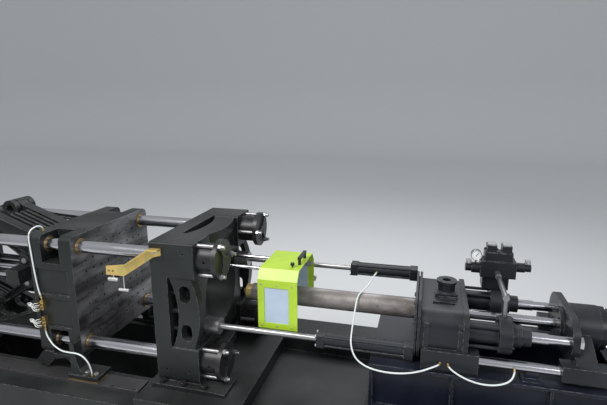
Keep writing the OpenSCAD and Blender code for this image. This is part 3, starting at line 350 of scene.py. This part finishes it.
def moulded(name, colour, rough=0.45, grain=300.0):
    """Moulded plastic or rubber with a fine grain."""
    s = Shader(name)
    fine = s.noise(grain, 2.0)
    fog = s.noise(18.0, 3.0)
    s.put("Base Color", s.mix(fog, colour, tuple(min(1.0, 1.25 * c + 0.004) for c in colour)))
    s.put("Roughness", rough + fog * 0.15)
    s.bump(fine, 0.1, 0.0003)
    return s.material


def brass_like(name, colour):
    """Turned bronze or brass, dulled in patches."""
    s = Shader(name, Metallic=0.9)
    soft, edge = s.rounded(0.0015)
    fog = s.noise(30.0, 4.0)
    s.put("Base Color", s.mix(fog.step(0.4, 0.7) * 0.6, colour, tuple(0.5 * c for c in colour)))
    s.put("Roughness", 0.28 + fog * 0.2 - edge * 0.08)
    s.bump(fog, 0.08, 0.0003, soft)
    return s.material


def mould_face(name, colour, machined):
    """Casting enamel all over, bare machined steel where the surface is a mould face.

    The face is picked by its own normal along X and its place along X."""
    s = Shader(name, Specular_IOR_Level=ENAMEL_SHINE)
    paint, soft, skin, patches, top = enamel(s, colour, 0.35)
    wipe = s.noise(3.0, 5.0, 0.62, (1.0, 0.6, 3.4))
    normal = s.node("ShaderNodeNewGeometry", {}, [], "Normal")
    facing = abs(s.node("ShaderNodeSeparateXYZ", {}, [normal], 0)).step(0.90, 0.99)
    on_plane = (1.0 - abs(s.axis("X") - machined).step(0.002, 0.004)) * facing
    steel = s.mix(wipe.step(0.36, 0.66), (0.060, 0.060, 0.062), (0.30, 0.30, 0.305))
    steel = s.mix(s.noise(12.0, 5.0).step(0.48, 0.70) * 0.5, steel, (0.05, 0.048, 0.048))
    s.put("Base Color", s.mix(on_plane, paint, steel))
    painted = (0.30 + patches * 0.22 + top * 0.12) * (1.0 - on_plane)
    s.put("Roughness", painted + on_plane * (0.34 + wipe * 0.2))
    s.put("Metallic", on_plane * 0.75)
    s.bump(skin, 0.5, 0.0012, soft)
    return s.material


# Meshes worked out as whole arrays

def mesh_piece(name, verts, faces, material, body, smooth=True):
    """A piece from vertex and face arrays, riding on a body."""
    mesh = bpy.data.meshes.new(name)
    mesh.from_pydata(verts.tolist(), [], [list(map(int, f)) for f in faces])
    if smooth:
        mesh.polygons.foreach_set("use_smooth", [True] * len(mesh.polygons))
        mesh.set_sharp_from_angle(angle=math.radians(32))
    mesh.materials.append(material)
    piece = bpy.data.objects.new(name, mesh)
    bpy.context.scene.collection.objects.link(piece)
    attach(piece, body)
    return piece


def turned(profile, seg=32):
    """Surface of revolution about X: x and radius come from the profile, the angle runs once round.

    The ends close on the axis as fans."""
    profile = np.asarray(profile, float)
    ang = np.linspace(0, 2 * np.pi, seg, endpoint=False)
    x = np.repeat(profile[:, 0], seg)
    r = np.repeat(profile[:, 1], seg)
    a = np.tile(ang, len(profile))
    verts = np.column_stack([x, r * np.cos(a), r * np.sin(a)])
    n = len(profile)
    i = np.repeat(np.arange(n - 1), seg)
    j = np.tile(np.arange(seg), n - 1)
    k = (j + 1) % seg
    quads = np.column_stack([i * seg + j, i * seg + k, (i + 1) * seg + k, (i + 1) * seg + j])
    start = len(verts)
    verts = np.vstack([verts, [[profile[0, 0], 0, 0], [profile[-1, 0], 0, 0]]])
    j = np.arange(seg)
    k = (j + 1) % seg
    first = np.column_stack([np.full(seg, start), j, k])
    last = np.column_stack([np.full(seg, start + 1), (n - 1) * seg + k, (n - 1) * seg + j])
    return verts, [*quads, *first, *last]


def aim(verts, direction):
    """Turns points modelled along X so that they run along the given direction."""
    d = np.asarray(direction, float)
    d = d / np.linalg.norm(d)
    side = np.cross(d, [0, 0, 1.0]) if abs(d[2]) < 0.9 else np.cross(d, [0, 1.0, 0])
    side = side / np.linalg.norm(side)
    basis = np.column_stack([d, -side, np.cross(d, side)])
    if np.linalg.det(basis) < 0:
        basis[:, 1] *= -1
    return verts @ basis.T


def copies(shape, places, direction=(1, 0, 0)):
    """One mesh of the shape set down at each place, millimetres from the mould face and axis."""
    verts, faces = shape
    verts = aim(np.asarray(verts) / 1000.0, direction)
    spots = at(places)
    all_verts = (verts[None, :, :] + spots[:, None, :]).reshape(-1, 3)
    all_faces = [np.asarray(f) + k * len(verts) for k in range(len(spots)) for f in faces]
    return all_verts, all_faces


def cap_screw(d, seg=20):
    """Socket head: a drum with a rounded rim and a hexagon-deep recess."""
    r = d / 2
    return turned([(0, r), (d * 0.62, r), (d * 0.70, r * 0.93),
                   (d * 0.70, r * 0.55), (d * 0.30, r * 0.5)], seg)


def hex_head(d, h):
    """Six-sided head with a turned chamfer on top."""
    r = d / 2
    return turned([(0, r), (h * 0.82, r), (h, r * 0.84)], 6)


def smooth_path(points, step):
    """Catmull-Rom curve through the points, about one sample each step."""
    p = np.asarray(points, float)
    p = np.vstack([2 * p[0] - p[1], p, 2 * p[-1] - p[-2]])
    out = []
    for i in range(1, len(p) - 2):
        n = max(2, int(np.linalg.norm(p[i + 1] - p[i]) / step))
        t = np.linspace(0, 1, n, endpoint=False)[:, None]
        a, b, c, d = p[i - 1], p[i], p[i + 1], p[i + 2]
        out.append(0.5 * (2 * b + (c - a) * t + (2 * a - 5 * b + 4 * c - d) * t ** 2
                          + (3 * b - a - 3 * c + d) * t ** 3))
    return np.vstack([*out, p[-2]])


def piped(path, radius, sides=12):
    """A circle carried along a path: each ring stands square to the path's own direction."""
    path = np.asarray(path, float)
    radius = np.broadcast_to(radius, len(path))
    tang = np.gradient(path, axis=0)
    tang /= np.linalg.norm(tang, axis=1)[:, None]
    ref = np.where(np.abs(tang[:, 2:3]) > 0.95, [[1.0, 0, 0]], [[0, 0, 1.0]])
    u = np.cross(tang, ref)
    u /= np.linalg.norm(u, axis=1)[:, None]
    v = np.cross(tang, u)
    a = np.linspace(0, 2 * np.pi, sides, endpoint=False)
    ring = (np.cos(a)[None, :, None] * u[:, None, :] + np.sin(a)[None, :, None] * v[:, None, :])
    verts = (path[:, None, :] + radius[:, None, None] * ring).reshape(-1, 3)
    n = len(path)
    i = np.repeat(np.arange(n - 1), sides)
    j = np.tile(np.arange(sides), n - 1)
    k = (j + 1) % sides
    faces = [*np.column_stack([i * sides + j, (i + 1) * sides + j, (i + 1) * sides + k, i * sides + k]),
             list(range(sides)), [(n - 1) * sides + s for s in range(sides - 1, -1, -1)]]
    return verts, faces


# Hose routes, the same points as in the part's source
PLATEN_HOSE = [[-792, -300, 384.3], [-793, -300, 398], [-797, -308, 412], [-803, -325, 420],
               [-808, -348, 418], [-812, -372, 408], [-814, -388, 388], [-814, -394, 360], [-812, -395, 320],
               [-808, -395, 240], [-803, -395, 150], [-797, -395, 80], [-789, -395, 30], [-781, -395, 2],
               [-777, -395, -10.9]]
SHOE_HOSE = [[-777, -395, -210.3], [-777, -396, -228], [-768, -400, -256], [-742, -408, -284],
             [-705, -424, -300], [-660, -440, -308], [-610, -456, -310], [-560, -462, -308],
             [-515, -462, -308], [-480, -460, -318], [-455, -456, -342], [-440, -450, -376],
             [-434, -446, -412], [-432, -444, -440], [-432, -444, -455.7]]
CARRIAGE_HOSE = [[1180, 205.2, 118], [1178, 188, 118], [1172, 165, 116], [1164, 135, 108],
                 [1152, 95, 92], [1136, 50, 78], [1118, 5, 70], [1104, -35, 62], [1096, -70, 36],
                 [1092, -104, -8], [1090, -142, -52], [1091, -188, -78], [1095, -236, -86],
                 [1100, -282, -102], [1110, -304, -134], [1128, -320, -164], [1160, -336, -186],
                 [1208, -350, -200], [1270, -358, -206], [1340, -358, -206], [1410, -352, -198],
                 [1470, -344, -182], [1515, -338, -162], [1545, -332, -148], [1558, -324, -141],
                 [1562, -313.2, -138]]
RAM_HOSE = [[1600, -313, -140], [1602, -324, -144], [1616, -338, -154], [1650, -350, -170],
            [1700, -360, -186], [1760, -366, -194], [1820, -363, -192], [1870, -350, -182],
            [1898, -335, -166], [1910, -320, -148], [1914, -306, -134], [1914, -296.4, -127]]


# Distance between the samples along a hose, in metres
HOSE_STEP = 0.008
# Crimped sleeve over a hose end: distance along the hose and radius, in millimetres
FERRULE = [(0.5, 4.7), (1, 6.6), (5, 6.6), (6, 5.8), (8, 5.8), (9, 6.4), (18, 6.0), (19, 4.8)]


# Operators, one for each piece or group of like pieces

class MOULDING_OT_stage(bpy.types.Operator):
    """Sets the floor, the backdrop, the lamps and the camera."""
    bl_idname = "moulding.stage"
    bl_label = "Stage"

    def execute(self, context):
        self.ground()
        self.lamps(context)
        self.camera(context)
        return {"FINISHED"}

    def ground(self):
        tint = colours().floor
        s = Shader("floor_paint", Roughness=0.85, Specular_IOR_Level=0.2)
        haze = s.noise(0.8, 3.0)
        s.put("Base Color", s.mix(haze * 0.25, tint, tuple(0.93 * c for c in tint)))
        # floor and sweep: flat, then a quarter circle up to a plain wall
        bend = np.linspace(0, np.pi / 2, 12)[1:]
        y = np.concatenate([[-16.0, 15.0], 15.0 + 3.0 * np.sin(bend), [18.0]])
        z = np.concatenate([[0.0, 0.0], 3.0 - 3.0 * np.cos(bend), [16.0]])
        x = np.array([-30.0, 30.0])
        verts = np.column_stack([np.tile(x, len(y)), np.repeat(y, 2), np.repeat(z, 2)])
        i = np.arange(len(y) - 1)
        faces = np.column_stack([2 * i, 2 * i + 1, 2 * i + 3, 2 * i + 2])
        mesh = bpy.data.meshes.new("studio_sweep")
        mesh.from_pydata(verts.tolist(), [], faces.tolist())
        mesh.polygons.foreach_set("use_smooth", [True] * len(mesh.polygons))
        mesh.materials.append(s.material)
        sweep = bpy.data.objects.new("studio_sweep", mesh)
        bpy.context.scene.collection.objects.link(sweep)

    def lamps(self, context):
        for name, place, target, size, power, tint in (
                ("key_lamp", (-1.5, -3.6, 6.0), (0.0, 0.0, 1.0), 2.2, 260.0, (1.0, 0.98, 0.95)),
                ("fill_lamp", (4.6, -4.2, 4.2), (0.8, 0.0, 1.0), 2.6, 90.0, (0.93, 0.96, 1.0)),
                ("far_lamp", (1.0, 4.2, 5.6), (0.0, 0.0, 1.2), 3.2, 130.0, (0.97, 0.98, 1.0))):
            light = bpy.data.lights.new(name, "AREA")
            light.size = size
            light.energy = power
            light.color = tint
            lamp = bpy.data.objects.new(name, light)
            context.scene.collection.objects.link(lamp)
            lamp.location = place
            way = np.subtract(target, place)
            lamp.rotation_euler = (math.atan2(math.hypot(way[0], way[1]), -way[2]), 0.0,
                                   math.atan2(way[1], way[0]) - math.pi / 2)
        world = bpy.data.worlds.new("studio_world")
        world.use_nodes = True
        sky = next(n for n in world.node_tree.nodes if n.type == "BACKGROUND")
        sky.inputs["Color"].default_value = (0.93, 0.96, 1.0, 1.0)
        sky.inputs["Strength"].default_value = 0.48
        context.scene.world = world
        context.scene.view_settings.view_transform = "Standard"

    def camera(self, context):
        view = bpy.data.cameras.new("photo_view")
        view.sensor_width = 36.0
        view.lens = sizes().lens
        camera = bpy.data.objects.new("photo_view", view)
        context.scene.collection.objects.link(camera)
        camera.location = at(EYE)[0]
        camera.rotation_euler = (math.radians(90 - PITCH_DOWN), math.radians(ROLL), math.radians(YAW_LEFT))
        context.scene.camera = camera


class MOULDING_OT_hoses(bpy.types.Operator):
    """Runs the white grease hoses along their routes and seats their brass ends."""
    bl_idname = "moulding.hoses"
    bl_label = "Grease Hoses"

    def execute(self, context):
        white = moulded("white_nylon", tuple(colours().hose), 0.32, 200.0)
        brass = brass_like("hose_brass", (0.66, 0.50, 0.24))
        d = sizes().hose_d
        for node, route, body in (("platen_hose", PLATEN_HOSE, "moving_platen"),
                                  ("shoe_hose", SHOE_HOSE, "moving_platen"),
                                  ("carriage_hose", CARRIAGE_HOSE, "carriage"),
                                  ("ram_hose", RAM_HOSE, "carriage")):
            path = smooth_path(at(route), HOSE_STEP)
            verts, faces = piped(path, d / 2)
            piece = mesh_piece(node + "_tube", verts, faces, white, body)
            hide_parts(node)
            for tip, inner, word in ((path[0], path[2], "start"), (path[-1], path[-3], "end")):
                ring, sides = turned(FERRULE, 14)
                ring = aim(ring / 1000.0, inner - tip) + tip
                mesh_piece(f"{node}_{word}_ferrule", ring, sides, brass, body)
        return {"FINISHED"}


def mirror_y(points):
    """The points and their mirror images across the machine's length."""
    return [*points, *[(x, -y, z) for x, y, z in points]]


def circle(x, y, z, radius, count, start=0.0):
    """Places spread evenly round a circle that faces along X."""
    turn = [math.radians(start) + 2 * math.pi * i / count for i in range(count)]
    return [(x, y + radius * math.sin(a), z + radius * math.cos(a)) for a in turn]


def lozenge(a, b, c, power=5.0, seg=20):
    """Superellipsoid block: half sizes a, b, c and a power that sets how square its corners are."""
    u = np.linspace(-np.pi / 2, np.pi / 2, seg // 2 + 1)
    v = np.linspace(0, 2 * np.pi, seg, endpoint=False)
    u, v = np.meshgrid(u, v, indexing="ij")

    def wave(value):
        return np.sign(value) * np.abs(value) ** (2.0 / power)

    verts = np.column_stack([(a * wave(np.cos(u)) * wave(np.cos(v))).ravel(),
                             (b * wave(np.cos(u)) * wave(np.sin(v))).ravel(), (c * wave(np.sin(u))).ravel()])
    i, j = np.meshgrid(np.arange(seg // 2), np.arange(seg), indexing="ij")
    i, j = i.ravel(), j.ravel()
    k = (j + 1) % seg
    return verts, [*np.column_stack([i * seg + j, i * seg + k, (i + 1) * seg + k, (i + 1) * seg + j])]


def fasten(name, shape, places, direction, material, body):
    """A group of like fasteners as one piece."""
    verts, faces = copies(shape, places, direction)
    return mesh_piece(name, verts, faces, material, body)


def weld_bead(name, path, radius, material, body):
    """Weld bead: a tube along a seam whose radius swells with each ripple of the torch."""
    line = smooth_path(at(path), 0.004)
    beat = np.arange(len(line))
    swell = radius / 1000.0 * (1.0 + 0.16 * np.abs(np.sin(beat * 0.9)) + 0.08 * np.sin(beat * 0.37))
    verts, faces = piped(line, swell, 7)
    return mesh_piece(name, verts, faces, material, body)


class MOULDING_OT_screws(bpy.types.Operator):
    """Fits the socket screws, hexagon bolts and tie rod nuts."""
    bl_idname = "moulding.screws"
    bl_label = "Screws"

    def execute(self, context):
        black = blackened("screw_black", (0.028, 0.028, 0.030))
        zinc = bare_steel("screw_zinc", (0.60, 0.60, 0.59), 0.28, 0.3)
        self.clamp(black, zinc)
        self.injection(black, zinc)
        return {"FINISHED"}

    def clamp(self, black, zinc):
        fasten("cylinder_screws", cap_screw(24), circle(-2144, 0, 0, 115, 8), (-1, 0, 0),
               black, "root")
        fasten("bracket_screws", hex_head(17, 7), [(30, -420.5, 356), (56, -420.5, 356)], (0, -1, 0),
               zinc, "root")
        fasten("strip_screws", cap_screw(10), mirror_y([(x, 454, -497) for x in range(-1340, -130, 150)]),
               (0, 0, 1), black, "root")
        fasten("shoe_bolts", hex_head(30, 14), mirror_y([(-482, 426, -456), (-417, 426, -456)]), (0, 0, 1),
               zinc, "moving_platen")
        for name, x, reach, body in (("rear_pin_screws", -1850, 262, "root"),
                                     ("front_pin_screws", -902, 236, "moving_platen")):
            for side in (-1, 1):
                fasten(f"{name}_{'near' if side < 0 else 'far'}", cap_screw(12),
                       [(x + dx, side * reach, z) for dx in (-14, 14) for z in (-220, 220)],
                       (0, side, 0), black, body)

    def injection(self, black, zinc):
        fasten("flange_screws", cap_screw(24), circle(1432, 0, 0, 84, 8), (-1, 0, 0),
               black, "carriage")
        fasten("strap_screws", cap_screw(11), [(x, -280.5, z) for x in (1485, 1657) for z in (-60, 36)],
               (0, -1, 0), black, "carriage")
        for y in (-200, 200):
            fasten(f"gland_screws_{'near' if y < 0 else 'far'}", cap_screw(15),
                   circle(1897, y, 0, 81, 8, 22.5), (1, 0, 0), black, "carriage")
        for name, x, y, z in (("pull_nuts_near", 906, -240, -132), ("pull_nuts_far", 1015, 240, 118)):
            fasten(name, hex_head(19, 7), [(x, y + dy, z + dz) for dy in (-27, 27) for dz in (-27, 27)],
                   (-1, 0, 0), zinc, "carriage")
        fasten("ram_cover_screws", cap_screw(13), circle(2152, 0, 0, 78, 8), (-1, 0, 0),
               black, "ram")
        fasten("motor_bolts", hex_head(19, 11), circle(2366, 0, 0, 103.5, 8, 10), (1, 0, 0),
               zinc, "ram")
        fasten("motor_end_screws", cap_screw(13), circle(2621, 0, 0, 90, 6), (1, 0, 0),
               black, "ram")
        fasten("valve_screws", cap_screw(10), [(x, y, 312) for x in (1796, 1862, 1934) for y in (166, 234)],
               (0, 0, 1), black, "carriage")
        for side in (-1, 1):
            fasten(f"guard_rivets_{'near' if side < 0 else 'far'}",
                   turned([(0, 5.5), (1.2, 5.5), (2.6, 4.4), (3.4, 2.2)], 14),
                   [(x, side * 200, z) for x in (568, 658, 748) for z in (-112, 138)],
                   (0, side, 0), zinc, "guard")


class MOULDING_OT_fittings(bpy.types.Operator):
    """Dresses the valve block with its plugs, the gauge with its dial and the platen with its tubes."""
    bl_idname = "moulding.fittings"
    bl_label = "Fittings"

    def execute(self, context):
        self.plugs()
        self.gauge()
        self.tubes()
        return {"FINISHED"}

    def plugs(self):
        grey = moulded("plug_grey", (0.30, 0.31, 0.32), 0.4)
        verts, faces = lozenge(15, 13, 14, 7.0, 28)
        fasten("coil_plugs", (verts, faces), [(1707, 190, 244), (2024, 200, 259)], (1, 0, 0),
               grey, "carriage")
        fasten("plug_glands", turned([(0, 7), (3, 9), (12, 9), (14, 7.5), (20, 6), (21, 3)], 16),
               [(1707, 179, 244), (2024, 189, 259)], (0, -1, 0), grey, "carriage")
        verts, faces = lozenge(23, 30, 7, 8.0, 28)
        fasten("valve_caps", (verts, faces), [(1826, 200, 355), (1906, 200, 355)], (1, 0, 0),
               grey, "carriage")

    def gauge(self):
        steel = bare_steel("gauge_bezel", (0.55, 0.55, 0.54), 0.22, 0.2)
        face = moulded("gauge_face", (0.78, 0.80, 0.80), 0.35)
        ink = moulded("gauge_ink", (0.03, 0.03, 0.03), 0.5)
        rim = turned([(0, 29), (-3, 30), (3, 31), (5, 30), (5.5, 28), (4.5, 26.5), (1, 26)], 40)
        fasten("gauge_rim", rim,
               [(1745, 170, 288)], (0, -1, 0), steel, "carriage")
        fasten("gauge_dial", turned([(0, 26), (1.4, 26), (1.6, 24), (1.7, 1)], 40),
               [(1745, 169, 288)], (0, -1, 0), face, "carriage")
        ticks = [(1745 + 21 * math.sin(a), 167, 288 + 21 * math.cos(a))
                 for a in np.radians(np.arange(-135, 136, 30))]
        fasten("gauge_ticks", turned([(0, 0.9), (0.5, 0.9), (0.7, 0.6)], 8), ticks, (0, -1, 0),
               ink, "carriage")
        needle = at([(1741, 166, 283), (1745, 166, 288), (1757, 166, 303)])
        verts, faces = piped(smooth_path(needle, 0.004), 0.0012, 6)
        mesh_piece("gauge_needle", verts, faces, ink, "carriage")

    def tubes(self):
        white = moulded("tube_white", (0.70, 0.72, 0.70), 0.35, 200.0)
        brass = brass_like("nipple_brass", (0.66, 0.50, 0.24))
        verts, faces, count = [], [], 0
        tips = []
        for block, z0 in enumerate((-58, -164)):
            for i in range(5):
                x, z = -788 + (i % 2) * 10 + 6, z0 - 24 + 12 * i
                tips.append((x, -422.5, z))
                reach = -26 - 3 * i
                line = [(x, -422, z), (x - 1, -430, z + 1), (x - 10, -438, z + 2),
                        (x - 26, -436, z0 + 9 * (i - 2)),
                        (x - 52, -424, z0 + 6 * (i - 2) + 8),
                        (x - 84, -408 + reach * 0.2, z0 + 4 * (i - 2) + 2)]
                v, f = piped(smooth_path(at(line), 0.004), 0.0022, 8)
                verts.append(v)
                faces += [[a + count for a in face] for face in f]
                count += len(v)
        mesh_piece("grease_tubes", np.vstack(verts), faces, white, "moving_platen")
        fasten("grease_nipples", turned([(0, 3.0), (1, 4.8), (5, 4.8), (6, 3.6), (9, 3.4), (10, 2.4)], 6),
               [(x, y + 3.4, z) for x, y, z in tips], (0, -1, 0), brass, "moving_platen")


class MOULDING_OT_seams(bpy.types.Operator):
    """Runs the weld beads along the bed and the injection base."""
    bl_idname = "moulding.seams"
    bl_label = "Weld Seams"

    def execute(self, context):
        beam = casting("seam_enamel", tuple(colours().beam), 0.36, 0.2, 0.0004)
        bed = casting("bed_seam_enamel", tuple(colours().casting), 0.40, 0.2, 0.0004)
        for side in (-1, 1):
            word = "near" if side < 0 else "far"
            weld_bead(f"base_seam_{word}", [(1207, side * 331, -449), (2000, side * 331, -449),
                                            (2778, side * 331, -449)], 3.4, beam, "root")
            weld_bead(f"web_seam_{word}", [(1222, side * 301, -210), (2000, side * 301, -210),
                                           (2760, side * 301, -210)], 3.0, beam, "root")
        weld_bead("tray_seam", [(547, -494, -549), (1178, -494, -549)], 3.0, bed, "root")
        return {"FINISHED"}


class MOULDING_OT_finishes(bpy.types.Operator):
    """Gives every frame node its finish."""
    bl_idname = "moulding.finishes"
    bl_label = "Finishes"

    def execute(self, context):
        c = colours()
        cast = casting("charcoal_casting", tuple(c.casting))
        bed = casting("bed_enamel", tuple(c.casting), 0.40, 0.30, 0.0004)
        unit = casting("injection_enamel", tuple(c.injection), 0.36, 0.30, 0.0008)
        beam = casting("beam_enamel", tuple(c.beam), 0.30, 0.22, 0.0004)
        motor = casting("motor_gloss", (0.010, 0.011, 0.013), 0.24, 0.2, 0.0003)
        chrome = chromed("hard_chrome")
        ground = bare_steel("ground_steel", (0.42, 0.42, 0.43), 0.3)
        black = blackened("blackened_steel")
        bright = bare_steel("bright_zinc", (0.66, 0.66, 0.65), 0.3, 0.25)
        finish = {
            "bed_frame": bed, "injection_base": beam, "levelling_feet": black,
            "slideway_strips": bare_steel("slideway_steel", (0.20, 0.20, 0.205), 0.32),
            "fixed_platen": mould_face("fixed_platen_finish", tuple(c.casting), FACE_X),
            "moving_platen": mould_face("moving_platen_finish", tuple(c.casting), FACE_X - MOULD_GAP),
            "rear_platen": cast, "platen_bolts": black, "locating_ring": ground, "tie_bars": chrome,
            "tie_bar_nuts": black, "retainer_discs": blackened("retainer_black", (0.035, 0.037, 0.036)),
            "retainer_fasteners": ground, "rear_pins": ground, "clamp_cylinder": unit,
            "crosshead_guides": chrome, "latch_bracket": zinc_plate("yellow_zinc", tuple(c.zinc)),
            "bracket_fittings": bright, "guard_rods": chrome, "carriage_rods": ground,
            "rail_posts": beam, "platen_bushes": brass_like("bush_bronze", (0.42, 0.30, 0.15)),
            "platen_shoes": cast, "wear_plates": brass_like("wear_bronze", (0.50, 0.33, 0.14)),
            "front_pins": ground, "grease_blocks": brass_like("grease_brass", (0.62, 0.47, 0.20)),
            "ejector_cylinder": unit, "ejector_rod": chrome, "crosshead": cast, "clamp_rod": chrome,
            "crosshead_pins": ground, "rear_link_upper": cast, "rear_link_lower": cast,
            "front_link_upper": cast, "front_link_lower": cast, "crosshead_link_upper": cast,
            "crosshead_link_lower": cast, "guard_shell": powder_coat("lime_coat", tuple(c.guard)),
            "guard_windows": frosted("frosted_pane", tuple(c.pane)),
            "guard_handle": moulded("black_handle", (0.012, 0.012, 0.012)), "guard_latches": bright,
            "carriage_housing": unit, "barrel_flange": unit, "barrel": scorched_barrel("barrel_steel"),
            "nozzle": zinc_plate("nozzle_zinc", (0.50, 0.46, 0.20)), "hopper_throat": unit,
            "pull_cylinders": unit, "injection_cylinders": unit, "valve_block": unit,
            "hydraulic_fittings": bare_steel("fitting_steel", (0.30, 0.30, 0.31), 0.3),
            "guide_rails": chrome, "ram_housing": unit, "injection_rods": chrome,
            "drive_motor": motor, "screw": chrome,
            "platen_hose": cast, "shoe_hose": cast, "carriage_hose": cast, "ram_hose": cast,
        }
        for name, node in NODES.items():
            mesh = node.data
            mesh.materials.clear()
            mesh.materials.append(finish[name])
        return {"FINISHED"}


class MOULDING_PT_panel(bpy.types.Panel):
    """Lists the machine's pieces, sizes and colours."""
    bl_idname = "MOULDING_PT_panel"
    bl_label = "Moulding Machine"
    bl_space_type = "VIEW_3D"
    bl_region_type = "UI"
    bl_category = "Moulding"

    def draw(self, context):
        layout = self.layout
        for group in (context.scene.moulding_sizes, context.scene.moulding_colours):
            for key in group.__annotations__:
                layout.prop(group, key)
        for op in OPERATORS:
            layout.operator(op.bl_idname)


OPERATORS = (MOULDING_OT_stage, MOULDING_OT_hoses, MOULDING_OT_screws, MOULDING_OT_fittings,
             MOULDING_OT_seams, MOULDING_OT_finishes)
CLASSES = (MouldingColours, MouldingSizes, *OPERATORS, MOULDING_PT_panel)


def register():
    for cls in CLASSES:
        bpy.utils.register_class(cls)
    bpy.types.Scene.moulding_colours = bpy.props.PointerProperty(type=MouldingColours)
    bpy.types.Scene.moulding_sizes = bpy.props.PointerProperty(type=MouldingSizes)


def unregister():
    del bpy.types.Scene.moulding_colours
    del bpy.types.Scene.moulding_sizes
    for cls in reversed(CLASSES):
        bpy.utils.unregister_class(cls)


def main():
    register()
    bpy.ops.moulding.stage()
    bpy.ops.moulding.hoses()
    bpy.ops.moulding.screws()
    bpy.ops.moulding.fittings()
    bpy.ops.moulding.seams()
    bpy.ops.moulding.finishes()


if __name__ == "__main__":
    main()
